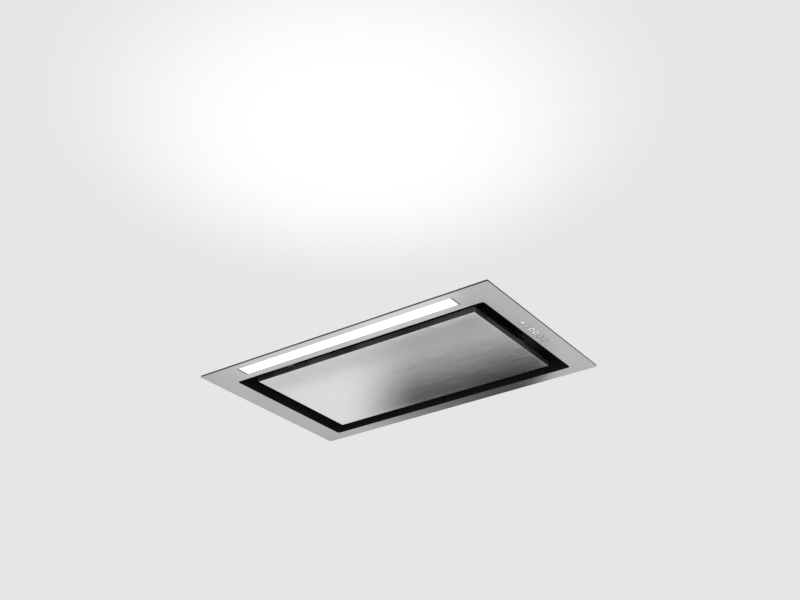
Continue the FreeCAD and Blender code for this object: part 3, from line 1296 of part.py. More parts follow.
def export():
    """Writes each sub-part to its own STEP file."""
    os.makedirs("parts", exist_ok=True)
    for thing in pieces:
        thing.Shape.exportStep(f"parts/{thing.Label}.step")


build()
check()
export()
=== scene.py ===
import math

import bmesh
import bpy
import numpy as np
from bpy.props import FloatProperty, FloatVectorProperty, PointerProperty
from mathutils import Matrix, Vector


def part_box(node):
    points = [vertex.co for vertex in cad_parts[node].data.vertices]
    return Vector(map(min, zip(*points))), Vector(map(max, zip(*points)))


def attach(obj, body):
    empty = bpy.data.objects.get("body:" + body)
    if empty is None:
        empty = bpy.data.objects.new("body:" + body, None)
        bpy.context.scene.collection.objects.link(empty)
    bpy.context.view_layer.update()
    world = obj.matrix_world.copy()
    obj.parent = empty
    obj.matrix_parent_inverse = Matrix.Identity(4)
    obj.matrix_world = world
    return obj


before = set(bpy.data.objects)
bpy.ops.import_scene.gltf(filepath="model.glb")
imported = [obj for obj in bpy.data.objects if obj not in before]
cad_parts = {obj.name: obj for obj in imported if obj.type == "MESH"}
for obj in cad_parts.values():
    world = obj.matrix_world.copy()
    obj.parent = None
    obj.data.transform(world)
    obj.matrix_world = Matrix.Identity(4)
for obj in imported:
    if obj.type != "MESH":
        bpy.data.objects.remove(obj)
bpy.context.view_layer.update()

bl_info = {
    "name": "Built-in range hood",
    "version": (1, 0, 0),
    "blender": (4, 5, 0),
    "location": "3D View > Sidebar > Hood",
    "description": "Finishes, small fittings and stage of a built-in range hood",
    "category": "Object",
}

# The push-buttons, from front to back.
BUTTONS = (
    "light_button",
    "motor_button",
    "low_speed_button",
    "high_speed_button",
    "boost_button",
    "timer_button",
)
BLACK = (0.0, 0.0, 0.0)
WHITE = (1.0, 1.0, 1.0)
FULL_TURN = 2 * np.pi


def corners(node):
    """Lowest and highest corner of a CAD node, as two arrays."""
    low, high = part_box(node)
    return np.array(low), np.array(high)


def inner_corners(low, high, inset_x, inset_y):
    """The four upright edges of a box, each moved inwards along x and y, as pairs of x and y."""
    across = (low[0] + inset_x, high[0] - inset_x)
    along = (low[1] + inset_y, high[1] - inset_y)
    return [(x, y) for x in across for y in along]


def colour(name, text, value):
    """A colour property."""
    return FloatVectorProperty(
        name=name, description=text, subtype="COLOR", size=3, min=0.0, max=1.0, default=value
    )


def length(name, text, value):
    """A length property, in metres."""
    return FloatProperty(name=name, description=text, unit="LENGTH", precision=5, default=value)


def share(name, text, value):
    """A property from 0 to 1."""
    return FloatProperty(name=name, description=text, subtype="FACTOR", min=0.0, max=1.0, default=value)


def power(name, text, value):
    """A lamp's power, in watts."""
    return FloatProperty(name=name, description=text, unit="POWER", default=value)


class HoodFinish(bpy.types.PropertyGroup):
    """Colours and roughness of the hood's finishes."""

    frame_steel: colour("Frame steel", "Brushed steel of the bottom frame", (0.46, 0.46, 0.46))
    # Painted shade: a dark colour for the folded sides of the frame and buttons.
    frame_edge_shade: colour("Frame edges", "Folded sides of the frame and buttons", (0.045, 0.045, 0.046))
    frame_gloss: share("Frame roughness", "Roughness of the frame's steel", 0.11)
    frame_edge_gloss: share("Frame edge roughness", "Roughness of the frame's folded sides", 0.14)
    panel_steel: colour("Panel steel", "Brushed steel of the suction panel", (0.70, 0.70, 0.70))
    # Painted shade: a dark colour for the folded sides of the panel.
    panel_edge_shade: colour("Panel edges", "Folded sides of the panel", (0.1125, 0.1125, 0.115))
    panel_gloss: share("Panel roughness", "Roughness of the panel's steel", 0.065)
    panel_edge_gloss: share("Panel edge roughness", "Roughness of the panel's folded sides", 0.38)
    grain: length("Grain", "Width of the brushed lines", 0.0005)
    weld: colour("Weld", "Seams at the panel's corners", (0.528, 0.528, 0.52))
    black_sheet: colour("Black sheet", "Powder coat of the recess", (0.009, 0.009, 0.0094))
    zinc: colour("Zinc", "Galvanised sheet of casings, motor and clip", (0.56, 0.58, 0.60))
    bright: colour("Bright steel", "Pins, shaft and screws", (0.66, 0.66, 0.65))
    foam: colour("Foam", "Seal between frame and cabinet", (0.035, 0.035, 0.038))
    opal: colour("Opal", "Diffuser of the light strip", (0.95, 0.95, 0.94))
    button: colour("Button", "Faces of the push-buttons", (0.46, 0.46, 0.46))
    button_edge_gloss: share("Button edge roughness", "Roughness of the buttons' sides", 0.3)
    # Painted highlight: tone of the glowing lenses of the buttons.
    lens_highlight_tone: colour("Pale inlay", "Pale lenses of the buttons", (0.62, 0.62, 0.62))
    # Also the tone of the buttons' glowing rim rings and painted shade rings.
    inlay_grey: colour("Grey inlay", "Grey rings and lenses of the buttons", (0.16, 0.16, 0.162))
    black_plastic: colour("Black plastic", "Collar, impeller, latch and boxes", (0.022, 0.022, 0.024))
    grey_plastic: colour("Grey plastic", "Scroll and flaps", (0.42, 0.43, 0.44))
    white_plastic: colour("White plastic", "Driver, light board and lit rings", (0.80, 0.80, 0.79))
    green_board: colour("Circuit board", "Green lacquer of the boards", (0.02, 0.16, 0.06))
    aluminium: colour("Aluminium", "Plate and net of the filter, capacitor", (0.74, 0.75, 0.76))
    anodised: colour("Anodised", "Frame of the grease filter", (0.26, 0.26, 0.265))
    magnet: colour("Magnet", "Sintered ferrite", (0.05, 0.05, 0.052))
    phosphor: colour("Phosphor", "Light-emitting chips", (0.90, 0.72, 0.25))


class HoodFittings(bpy.types.PropertyGroup):
    """Sizes of the small fittings."""

    screw_head: length("Screw head", "Radius of a screw head", 0.0032)
    screw_rise: length("Screw rise", "Height of a screw head", 0.0018)
    screw_slot: length("Screw slot", "Half width of the cross in a screw head", 0.00045)
    pin_head: length("Pin head", "Radius of a hinge pin's head", 0.0030)
    pin_rise: length("Pin head rise", "Height of a hinge pin's head", 0.0012)
    weld_radius: length("Weld", "Radius of the seams at the panel's corners", 0.00046)
    weld_inset: length("Weld inset", "Middle of a seam inside the panel's sides", 0.0003)
    ring_radius: length("Light ring", "Radius of the lit ring in a button", 0.0040)
    ring_width: length("Light ring width", "Half width of the lit ring", 0.00055)
    line_radius: length("Line ring", "Radius of the thin ring in a button", 0.0055)
    line_width: length("Line ring width", "Half width of the thin ring", 0.0004)
    lens_radius: length("Lens", "Radius of the lens inside a lit ring", 0.0026)
    wide_radius: length("Wide lens", "Radius of the lens inside a thin ring", 0.0043)
    inlay_rise: length("Inlay rise", "How far an inlay stands out of its button", 0.00008)
    net_pitch: length("Net pitch", "Length of a diamond in the filter net", 0.010)
    net_strand: length("Net strand", "Width of a strand of the filter net", 0.0011)
    net_depth: length("Net depth", "Filter net behind the faces of the filter's frame", 0.0016)
    bead: length("Spigot bead", "Radius of the beads round the duct spigot", 0.0016)
    casing_inset: length("Casing screws", "Casing screws inside the edges of the flange", 0.0055)
    collar_inset: length("Collar screws", "Collar screws inside the corners of the flange", 0.010)
    lid_inset: length("Lid screws", "Lid screws inside the corners of the control box", 0.007)


class HoodStage(bpy.types.PropertyGroup):
    """Backdrop, floor and light."""

    backdrop: colour("Backdrop", "Pale backdrop round the hood", (0.79, 0.79, 0.79))
    glow: colour("Backdrop glow", "Brightest part of the backdrop", WHITE)
    floor: colour("Floor", "Pale floor", (0.86, 0.86, 0.86))
    floor_level: length("Floor level", "Height of the floor", -1.70)
    ambient: share("Ambient", "Light from all round", 0.72)
    key: power("Key lamp", "Power of the upper lamp", 48.0)
    fill: power("Fill lamp", "Power of the lower lamp", 20.0)


def tint(tone, factor):
    """A colour made lighter or darker."""
    return tuple(min(1.0, c * factor) for c in tone)


class Shade:
    """A shader socket that takes part in sums; plain numbers join in as they are."""

    def __init__(self, tree, socket=None):
        self.tree = tree
        self.socket = socket

    def feed(self, socket, value):
        """Links a value to a node's socket, or sets it there; a plain colour gets its alpha."""
        if isinstance(value, Shade):
            self.tree.links.new(value.socket, socket)
        elif socket.type == "RGBA":
            socket.default_value = (*value, 1.0)
        else:
            socket.default_value = value

    def node(self, kind, settings, sockets, output=0):
        """Adds any node: its settings first, then the values or links of its sockets."""
        made = self.tree.nodes.new(kind)
        for key, value in settings.items():
            if key == "stops":
                fill_ramp(made.color_ramp, value)
            else:
                setattr(made, key, value)
        for key, value in sockets.items():
            self.feed(made.inputs[key], value)
        return Shade(self.tree, made.outputs[output])

    def math(self, operation, *values):
        """A Math node on values or sockets."""
        return self.node("ShaderNodeMath", {"operation": operation}, dict(enumerate(values)))

    def __add__(self, other):
        return self.math("ADD", self, other)

    def __radd__(self, other):
        return self.math("ADD", other, self)

    def __sub__(self, other):
        return self.math("SUBTRACT", self, other)

    def __rsub__(self, other):
        return self.math("SUBTRACT", other, self)

    def __mul__(self, other):
        return self.math("MULTIPLY", self, other)

    def __rmul__(self, other):
        return self.math("MULTIPLY", other, self)

    def __truediv__(self, other):
        return self.math("DIVIDE", self, other)

    def __rtruediv__(self, other):
        return self.math("DIVIDE", other, self)

    def axis(self, number):
        """One coordinate of a vector."""
        return self.node("ShaderNodeSeparateXYZ", {}, {"Vector": self}, number)

    def step(self, low, high):
        """This value eased from 0 at low to 1 at high."""
        span = {"Value": self, "From Min": low, "From Max": high, "To Min": 0.0, "To Max": 1.0}
        return self.node("ShaderNodeMapRange", {"interpolation_type": "SMOOTHSTEP"}, span)

    def band(self, low, high, rise, fall):
        """1 between low and high, eased to 0 over rise before low and over fall after high."""
        return self.step(low - rise, low) * (1.0 - self.step(high, high + fall))

    def mix(self, first, second):
        """A colour between two colours, by this value."""
        return self.node("ShaderNodeMix", {"data_type": "RGBA"}, {"Factor": self, 6: first, 7: second}, 2)

    def vary(self, tone, low, high):
        """A colour between two tints of one tone, by this value."""
        return self.mix(tint(tone, low), tint(tone, high))

    def ramp(self, *stops):
        """A colour ramp on this value."""
        return self.node("ShaderNodeValToRGB", {"stops": stops}, {"Fac": self})

    def bump(self, depth, strength=1.0):
        """A normal tipped by this value as a height, with its depth in metres."""
        return self.node("ShaderNodeBump", {}, {"Height": self, "Distance": depth, "Strength": strength})


def fill_ramp(ramp, stops):
    """Gives a colour ramp its stops, each a place and a colour."""
    while len(ramp.elements) < len(stops):
        ramp.elements.new(1.0)
    for element, (place, tone) in zip(ramp.elements, stops):
        element.position = place
        element.color = (*tone, 1.0)


def around(middle, *parts):
    """A value that swings about its middle: each part is a noise from 0 to 1 and its whole swing."""
    value = middle
    for noise, swing in parts:
        value = value + swing * (noise - 0.5)
    return value


def plain_shader(name):
    """A material with nothing but its output: the material, a start for its nodes and the output node."""
    material = bpy.data.materials.new(name)
    material.use_nodes = True
    material.node_tree.nodes.clear()
    out = material.node_tree.nodes.new("ShaderNodeOutputMaterial")
    return material, Shade(material.node_tree), out


class Finish:
    """A material with one Principled shader, whose sockets are set or linked by name."""

    def __init__(self, name):
        self.material, self.start, out = plain_shader(name)
        self.shader = self.start.tree.nodes.new("ShaderNodeBsdfPrincipled")
        self.start.tree.links.new(self.shader.outputs[0], out.inputs["Surface"])
        self.place = self.start.node("ShaderNodeTexCoord", {}, {}, "Object")

    def set(self, **values):
        """Sets or links sockets of the shader; an underscore stands for a space."""
        for key, value in values.items():
            self.start.feed(self.shader.inputs[key.replace("_", " ")], value)

    def spread(self, x, y, z):
        """Object coordinates stretched by three factors."""
        return self.start.node("ShaderNodeMapping", {}, {"Vector": self.place, "Scale": (x, y, z)})

    def noise(self, place, scale=1.0, detail=2.0, rough=0.55):
        """Soft noise from 0 to 1."""
        sockets = {"Vector": place, "Scale": scale, "Detail": detail, "Roughness": rough}
        return self.start.node("ShaderNodeTexNoise", {}, sockets)

    def cells(self, place, scale, output):
        """Cells round scattered points: a colour for each cell, or the distance from its point."""
        sockets = {"Vector": place, "Scale": scale}
        return self.start.node("ShaderNodeTexVoronoi", {"feature": "F1"}, sockets, output)

    def inside(self, number, middle, half):
        """How far a point lies inside the two ends of a span along one axis, in metres."""
        part = self.place.axis(number) - middle
        return half - part.math("ABSOLUTE", part)


def brushed_steel(name, face, edge, grain):
    """Steel brushed along its length: fine lines in colour, roughness and bump, faint wide bands and a
    slight waviness of the sheet. Folded sides and cut edges get painted shade: a darker, less metallic
    colour, lighter and darker in patches by a noise, with a roughness of their own. Face and edge each give
    a colour and a roughness."""
    (tone, roughness), (edge_shade_tone, edge_roughness) = face, edge
    made = Finish(name)
    lines = made.noise(made.spread(6.0, 1.0 / grain, 1.0 / grain), rough=0.6)
    bands = made.noise(made.spread(1.5, 60.0, 60.0))
    waves = made.noise(made.place, scale=9.0, detail=3.0)
    edge_patches = made.noise(made.place, scale=7.0, detail=3.0)
    tilt = made.start.node("ShaderNodeTexCoord", {}, {}, "Normal").axis(2)
    # Painted shade: on the folded sides and cut edges the colour turns darker and less metallic, in patches
    # by a noise.
    side = (1.0 - tilt.math("ABSOLUTE", tilt)).step(0.002, 0.04)
    edge_painted_shade = edge_patches.step(0.35, 0.65).vary(edge_shade_tone, 0.35, 1.7)
    rough = around(roughness, (lines, 0.03), (bands, 0.02), (waves, 0.02))
    made.set(Base_Color=side.mix(lines.vary(tone, 0.94, 1.06), edge_painted_shade), Metallic=1.0 - 0.6 * side)
    made.set(Roughness=rough + (edge_roughness - roughness) * side)
    made.set(Normal=(0.004 * lines + 0.12 * bands + waves).bump(0.0002))
    return made.material


def powder_coat(name, tone):
    """Matt powder coat: a fine pebbled skin with slight changes of gloss."""
    made = Finish(name)
    pebble = made.noise(made.place, scale=1600.0)
    drift = made.noise(made.place, scale=14.0, detail=3.0)
    made.set(Base_Color=drift.vary(tone, 0.85, 1.2), Metallic=0.0, Specular_IOR_Level=0.35)
    made.set(Roughness=around(0.46, (drift, 0.16), (pebble, 0.08)), Normal=pebble.bump(0.00004, 0.5))
    return made.material


def galvanised(name, tone):
    """Galvanised sheet: the crystals of the zinc as cells of slightly different tone and gloss."""
    made = Finish(name)
    shift = made.noise(made.place, scale=30.0).mix(BLACK, (0.02, 0.02, 0.02))
    place = made.start.node("ShaderNodeVectorMath", {"operation": "ADD"}, {0: made.place, 1: shift})
    cells = made.cells(place, 85.0, "Color")
    flake = made.start.node("ShaderNodeSeparateColor", {}, {"Color": cells})
    streak = made.noise(made.spread(4.0, 220.0, 4.0))
    made.set(Base_Color=flake.vary(tone, 0.87, 1.09), Metallic=0.85)
    made.set(Roughness=around(0.50, (flake, 0.12), (streak, 0.10)))
    made.set(Normal=(flake + 0.4 * streak).bump(0.00002, 0.4))
    return made.material


def plated(name, tone):
    """Bright zinc plate on small steel pieces, with a faint turned pattern."""
    made = Finish(name)
    turned = made.noise(made.spread(900.0, 60.0, 900.0))
    drift = made.noise(made.place, scale=120.0)
    made.set(Base_Color=drift.vary(tone, 0.86, 1.08), Metallic=1.0)
    made.set(Roughness=around(0.30, (turned, 0.14), (drift, 0.08)))
    return made.material


def rolled_aluminium(name, tone):
    """Plain rolled aluminium with soft rolling lines."""
    made = Finish(name)
    lines = made.noise(made.spread(5.0, 700.0, 700.0))
    drift = made.noise(made.place, scale=24.0)
    made.set(Base_Color=drift.vary(tone, 0.88, 1.05), Metallic=1.0)
    made.set(Roughness=around(0.36, (lines, 0.14), (drift, 0.10)), Normal=lines.bump(0.00001, 0.4))
    return made.material


def moulded(name, tone, gloss=0.42, grain=900.0):
    """Moulded plastic with a fine spark-eroded grain and faint flow marks."""
    made = Finish(name)
    skin = made.noise(made.place, scale=grain)
    flow = made.noise(made.spread(18.0, 6.0, 10.0), detail=3.0)
    made.set(Base_Color=flow.vary(tone, 0.90, 1.10))
    made.set(Roughness=around(gloss, (flow, 0.12), (skin, 0.08)), Normal=skin.bump(0.00004, 0.35))
    return made.material


def closed_foam(name, tone):
    """Closed-cell foam: small open pores over a dark, matt body, coloured darker in their pits as painted
    shade.
    """
    made = Finish(name)
    pores = made.cells(made.place, 900.0, "Distance")
    # Painted shade: the colour is darker in the pits of the pores.
    made.set(Base_Color=pores.ramp((0.1, tint(tone, 0.5)), (0.6, tint(tone, 1.3))))
    made.set(Roughness=0.92, Normal=pores.bump(0.0004, 0.8))
    return made.material


def lit_opal(name, tone, low, high):
    """Opal diffuser lit from behind: even, with soft edges along its length, and at each end a short unlit
    stretch and a thin dark band of painted shade."""
    made = Finish(name)
    middle, half = (low + high) / 2, (high - low) / 2
    ends = made.inside(0, middle[0], half[0])
    edges = made.inside(1, middle[1], half[1])
    soft = made.noise(made.place, scale=300.0)
    end_shade_width, body_start, lit_start, lit_full, soft_edge = 0.0014, 0.0018, 0.0034, 0.0040, 0.0016
    lit = ends.step(lit_start, lit_full) * edges.step(0.0, soft_edge)
    # Painted shade: the last stretch at each end is near black, for the shade in the gap at the end of the
    # slot.
    body = ends.step(end_shade_width, body_start)
    made.set(Base_Color=body.mix((0.03, 0.03, 0.03), soft.vary(tone, 0.55, 0.60)))
    made.set(Emission_Color=body.mix(BLACK, lit.vary(tone, 0.10, 1.0)), Emission_Strength=1.2)
    made.set(Roughness=around(0.35, (soft, 0.05)))
    return made.material


def lacquered_board(name, tone):
    """Circuit board: lacquer over copper tracks that run in two directions."""
    made = Finish(name)
    bricks = {"Vector": made.place, "Scale": 90.0, "Mortar Size": 0.03, "Bias": 0.0}
    tracks = made.start.node("ShaderNodeTexBrick", {"offset": 0.5, "squash": 1.0}, bricks, "Fac")
    drift = made.noise(made.place, scale=60.0)
    made.set(Base_Color=tracks.mix(drift.vary(tone, 0.85, 1.15), tint(tone, 1.9)))
    made.set(Roughness=around(0.30, (drift, 0.10)), Normal=tracks.bump(0.00004, 0.5))
    return made.material


def sintered(name, tone):
    """Sintered ferrite: dark, slightly shiny, with fine specks."""
    made = Finish(name)
    specks = made.noise(made.place, scale=2200.0)
    made.set(Base_Color=specks.ramp((0.35, tint(tone, 0.7)), (0.7, tint(tone, 1.6))))
    made.set(Roughness=around(0.48, (specks, 0.2)), Metallic=0.3)
    return made.material


def glowing(name, tone, strength):
    """A small lit or unlit inlay or chip, with a slight speckle."""
    made = Finish(name)
    speckle = made.noise(made.place, scale=3000.0, detail=1.0)
    made.set(Base_Color=speckle.vary(tone, 0.9, 1.0), Roughness=around(0.3, (speckle, 0.1)))
    made.set(Emission_Color=speckle.vary(tone, 0.95, 1.0), Emission_Strength=strength)
    return made.material


def dress(material, *nodes):
    """Puts a material on CAD nodes."""
    for name in nodes:
        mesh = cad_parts[name].data
        mesh.materials.clear()
        mesh.materials.append(material)


def patches(name, points, body, material, closed_u=False, closed_v=False, smooth=True):
    """A mesh of several like patches. points has the shape (patches, u, v, 3); each patch is a grid whose
    neighbours in u and v are joined by four-sided faces, closed round where asked. Points that meet are
    merged, open ends filled, and all faces turned outwards."""
    count, nu, nv = points.shape[:3]
    index = np.arange(count * nu * nv).reshape(count, nu, nv)
    if closed_u:
        index = np.concatenate([index, index[:, :1]], axis=1)
    if closed_v:
        index = np.concatenate([index, index[:, :, :1]], axis=2)
    rounds = [index[:, :-1, :-1], index[:, 1:, :-1], index[:, 1:, 1:], index[:, :-1, 1:]]
    quads = np.stack(rounds, axis=-1)
    mesh = bpy.data.meshes.new(name)
    mesh.from_pydata(points.reshape(-1, 3).tolist(), [], quads.reshape(-1, 4).tolist())
    shell = bmesh.new()
    shell.from_mesh(mesh)
    bmesh.ops.remove_doubles(shell, verts=shell.verts, dist=1e-7)
    bmesh.ops.holes_fill(shell, edges=[e for e in shell.edges if e.is_boundary], sides=0)
    bmesh.ops.recalc_face_normals(shell, faces=shell.faces)
    shell.to_mesh(mesh)
    shell.free()
    mesh.polygons.foreach_set("use_smooth", np.full(len(mesh.polygons), smooth))
    mesh.materials.append(material)
    piece = bpy.data.objects.new(name, mesh)
    bpy.context.scene.collection.objects.link(piece)
    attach(piece, body)


def full_circle(count):
    """Angles evenly round a full turn."""
    return np.linspace(0, FULL_TURN, count, endpoint=False)


def set_on(head, spots, directions):
    """Copies of one head, a grid of points about the z axis, set on spots and turned to directions."""
    steep = 0.9
    third = np.asarray(directions, float)
    helper = np.where(np.abs(third[:, 2:3]) > steep, [[1.0, 0.0, 0.0]], [[0.0, 0.0, 1.0]])
    first = np.cross(helper, third)
    first /= np.linalg.norm(first, axis=1, keepdims=True)
    axes = np.stack([first, np.cross(third, first), third], axis=1)
    return np.einsum("uvk,nkj->nuvj", head, axes) + np.asarray(spots, float)[:, None, None, :]


def screw_heads(name, spots, sizes, material):
    """Upright cross-slot screw heads. On a polar grid (radius, angle) the height is a flattened dome, less
    a cross of two bars whose edges fall off over a quarter of the slot's width. The last ring drops to the
    foot of the head."""
    radius, rise, slot = sizes.screw_head, sizes.screw_rise, sizes.screw_slot
    sides, flatness, edge, cross_share, cross_end, cross_depth = 32, 0.75, 0.25, 0.72, 0.3, 0.5
    out = np.concatenate([np.linspace(0.0, 0.92, 9), [0.98, 1.0, 1.0]])[:, None]
    angle = full_circle(sides)[None, :]
    x, y = radius * out * np.cos(angle), radius * out * np.sin(angle)
    near, far = np.minimum(np.abs(x), np.abs(y)), np.maximum(np.abs(x), np.abs(y))
    bar = np.clip(((1 + edge) * slot - near) / (2 * edge * slot), 0, 1)
    reach = np.clip((cross_share * radius - far) / (cross_end * slot), 0, 1)
    height = rise * np.sqrt(1.0 - flatness * out**2) - cross_depth * rise * bar * reach
    height[-1] = 0.0
    points = set_on(np.stack([x, y, height], axis=-1), spots, [(0.0, 0.0, 1.0)] * len(spots))
    patches(name, points, "hood", material, closed_v=True)


def domes(spots, directions, radius, rise):
    """Riveted heads: half ellipsoids on a polar grid, radius times the cosine of the tilt outwards and rise
    times its sine upwards."""
    sides, rings = 24, 6
    angle = full_circle(sides)[None, :]
    tilt = np.linspace(0.0, np.pi / 2, rings)[:, None]
    flat, height = radius * np.cos(tilt), rise * np.sin(tilt) * np.ones_like(angle)
    head = np.stack([flat * np.cos(angle), flat * np.sin(angle), height], axis=-1)
    return set_on(head, spots, directions)


def turned_round(profile, centre, count):
    """A profile of (radius, height) carried round the z axis through a centre, as one closed patch."""
    angle = full_circle(count)
    radius, height = np.asarray(profile, float).T
    x = radius[None, :] * np.cos(angle)[:, None] + centre[0]
    y = radius[None, :] * np.sin(angle)[:, None] + centre[1]
    z = np.broadcast_to(height[None, :] + centre[2], x.shape)
    return np.stack([x, y, z], axis=-1)[None]


def net_strands(x_span, y_span, level, pitch, strand):
    """Zigzag strands of an expanded net over a rectangle. Each strand runs along x and swings to both sides
    of the middle of its row, out of step with its neighbours, so that they meet in diamonds. Its section
    is a flat ribbon, tipped a little."""
    row_height, step_length, swing_share = 0.45 * pitch, 0.5 * pitch, 0.42
    rows = max(2, int(round((y_span[1] - y_span[0]) / row_height)))
    steps = max(2, int((x_span[1] - x_span[0]) / step_length))
    height = (y_span[1] - y_span[0]) / rows
    x = np.linspace(x_span[0], x_span[1], steps + 1)
    swing = np.where(np.arange(steps + 1) % 2 == 0, 1.0, -1.0)[None, :]
    sign = np.where(np.arange(rows) % 2 == 0, 1.0, -1.0)[:, None]
    middles = y_span[0] + height * (np.arange(rows) + 0.5)[:, None]
    y = middles + swing_share * height * swing * sign
    ribbon = strand * np.array([[-0.5, -0.2], [0.5, -0.45], [0.5, 0.2], [-0.5, 0.45]])
    points = np.zeros((rows, steps + 1, len(ribbon), 3))
    points[..., 0] = x[None, :, None]
    points[..., 1] = y[:, :, None] + ribbon[None, None, :, 0]
    points[..., 2] = level + ribbon[None, None, :, 1]
    return points


def weld_beads(low, high, radius, inset):
    """Thin beads up the four corners of a box: a circle carried up z, whose radius ripples with the
    height. They start above the rounded lower edge and end just under the upper one."""
    foot, head, rings, sides, ripples, ripple_share = 0.0012, 0.0002, 14, 12, 9, 0.12
    turn = full_circle(sides)
    ripple = 1 + ripple_share * np.sin(ripples * np.linspace(0, FULL_TURN, rings))
    ring = (radius * ripple)[:, None, None] * np.stack([np.cos(turn), np.sin(turn)], axis=-1)[None]
    posts = np.array(inner_corners(low, high, inset, inset))
    points = np.zeros((len(posts), rings, sides, 3))
    points[..., :2] = posts[:, None, None, :] + ring[None]
    points[..., 2] = np.linspace(low[2] + foot, high[2] - head, rings)[None, :, None]
    return points


class HOOD_OT_steel(bpy.types.Operator):
    """Brushed steel on frame and panel, and the welded corners of the panel"""

    bl_idname = "hood.steel"
    bl_label = "Steel frame and panel"

    def execute(self, context):
        looks, sizes = context.scene.hood_finish, context.scene.hood_fittings
        # The edge colour is painted shade on the folded sides.
        face, edge = (looks.frame_steel, looks.frame_gloss), (looks.frame_edge_shade, looks.frame_edge_gloss)
        dress(brushed_steel("frame_steel", face, edge, looks.grain), "bottom_frame")
        face, edge = (looks.panel_steel, looks.panel_gloss), (looks.panel_edge_shade, looks.panel_edge_gloss)
        dress(brushed_steel("panel_steel", face, edge, looks.grain), "suction_panel")
        seam = galvanised("weld_grey", looks.weld)
        points = weld_beads(*corners("suction_panel"), sizes.weld_radius, sizes.weld_inset)
        patches("panel_corner_welds", points, "panel", seam, closed_v=True)
        return {"FINISHED"}


class HOOD_OT_recess(bpy.types.Operator):
    """Black recess, panel backing, hinges and magnets, with the heads of the hinge pins"""

    bl_idname = "hood.recess"
    bl_label = "Recess, hinges and magnets"

    def execute(self, context):
        looks, sizes = context.scene.hood_finish, context.scene.hood_fittings
        black = powder_coat("recess_black", looks.black_sheet)
        dress(black, "inlet_tray", "panel_backing", "hinge_brackets", "hinge_ears")
        bright = plated("hinge_plate", looks.bright)
        dress(bright, "hinge_pins")
        dress(moulded("holder_black", looks.black_plastic), "magnet_holders")
        dress(sintered("ferrite", looks.magnet), "panel_magnets")
        dress(closed_foam("seal_foam", looks.foam), "cabinet_seal")
        low, high = corners("hinge_pins")
        half_ear = 0.005
        hinge = corners("hinge_ears")[1][0] - half_ear
        half_pin = high[0] - hinge
        ends = [(side * hinge + way * half_pin, way) for side in (-1, 1) for way in (-1, 1)]
        spots = [(x, (low[1] + high[1]) / 2, (low[2] + high[2]) / 2) for x, way in ends]
        points = domes(spots, [(way, 0.0, 0.0) for x, way in ends], sizes.pin_head, sizes.pin_rise)
        patches("hinge_pin_heads", points, "hood", bright, closed_v=True)
        return {"FINISHED"}


class HOOD_OT_light(bpy.types.Operator):
    """Lit diffuser, housing, board and chips of the light strip"""

    bl_idname = "hood.light"
    bl_label = "Light strip"

    def execute(self, context):
        looks = context.scene.hood_finish
        low, high = corners("led_diffuser")
        shoulder = np.array([0.0025, 0.0025, 0.0])
        dress(lit_opal("opal_lit", looks.opal, low + shoulder, high - shoulder), "led_diffuser")
        dress(galvanised("light_housing_zinc", looks.zinc), "led_housing")
        dress(moulded("white_lacquer", looks.white_plastic, gloss=0.35), "led_board")
        dress(glowing("phosphor", looks.phosphor, 0.0), "led_chips")
        return {"FINISHED"}


class HOOD_OT_buttons(bpy.types.Operator):
    """Push-buttons with a ring and a lens in each face, and the keypad behind them"""

    bl_idname = "hood.buttons"
    bl_label = "Push-buttons"

    def execute(self, context):
        looks, sizes = context.scene.hood_finish, context.scene.hood_fittings
        # The edge colour is painted shade on the buttons' sides.
        face, edge = (looks.button, looks.frame_gloss), (looks.frame_edge_shade, looks.button_edge_gloss)
        dress(brushed_steel("button_satin", face, edge, looks.grain), *BUTTONS)
        # The lit rings glow as lights behind the buttons. The bright and pale lenses glow as painted
        # highlights, the faint rings glow as a painted line of light round the rim, and the dark rings are
        # painted shade at the rim.
        lit = glowing("ring_lit", looks.white_plastic, 0.9)
        bright = glowing("lens_painted_highlight", looks.lens_highlight_tone, 0.35)
        pale = glowing("lens_pale_painted_highlight", tint(looks.lens_highlight_tone, 0.8), 0.15)
        faint = glowing("ring_painted_rim_glow", tint(looks.inlay_grey, 2.2), 0.12)
        grey = glowing("lens_grey", looks.inlay_grey, 0.0)
        dark = glowing("ring_painted_shade", tint(looks.inlay_grey, 0.45), 0.0)
        inlays = ((faint, bright), (faint, pale), (lit, grey), (lit, grey), (dark, pale), (dark, pale))
        broad = (sizes.ring_radius, sizes.ring_width, sizes.lens_radius / 2)
        thin = (sizes.line_radius, sizes.line_width, sizes.wide_radius / 2)
        for name, (ring, lens) in zip(BUTTONS, inlays):
            radius, half_width, half_lens = broad if ring is lit else thin
            self.inlay(name, "ring", radius, half_width, sizes.inlay_rise, ring)
            self.inlay(name, "lens", half_lens, half_lens, sizes.inlay_rise, lens)
        dress(moulded("keypad_black", looks.black_plastic), "keypad_housing", "key_switches")
        dress(lacquered_board("keypad_green", looks.green_board), "keypad_board")
        return {"FINISHED"}

    def inlay(self, button, kind, radius, half_width, rise, material):
        """A ring in a button's face: an eight-sided oval, half_width by rise, carried round the button's
        middle. Where half_width is the radius, the ring closes to a lens."""
        low, high = corners(button)
        centre = ((low[0] + high[0]) / 2, (low[1] + high[1]) / 2, low[2])
        sides, steps = 8, 48
        turn = full_circle(sides) + np.pi / sides
        profile = np.stack([radius + half_width * np.cos(turn), rise * np.sin(turn)], axis=1)
        points = turned_round(profile, centre, steps)
        body = button + "_body"
        patches(f"{button}_{kind}", points, body, material, closed_u=True, closed_v=True)


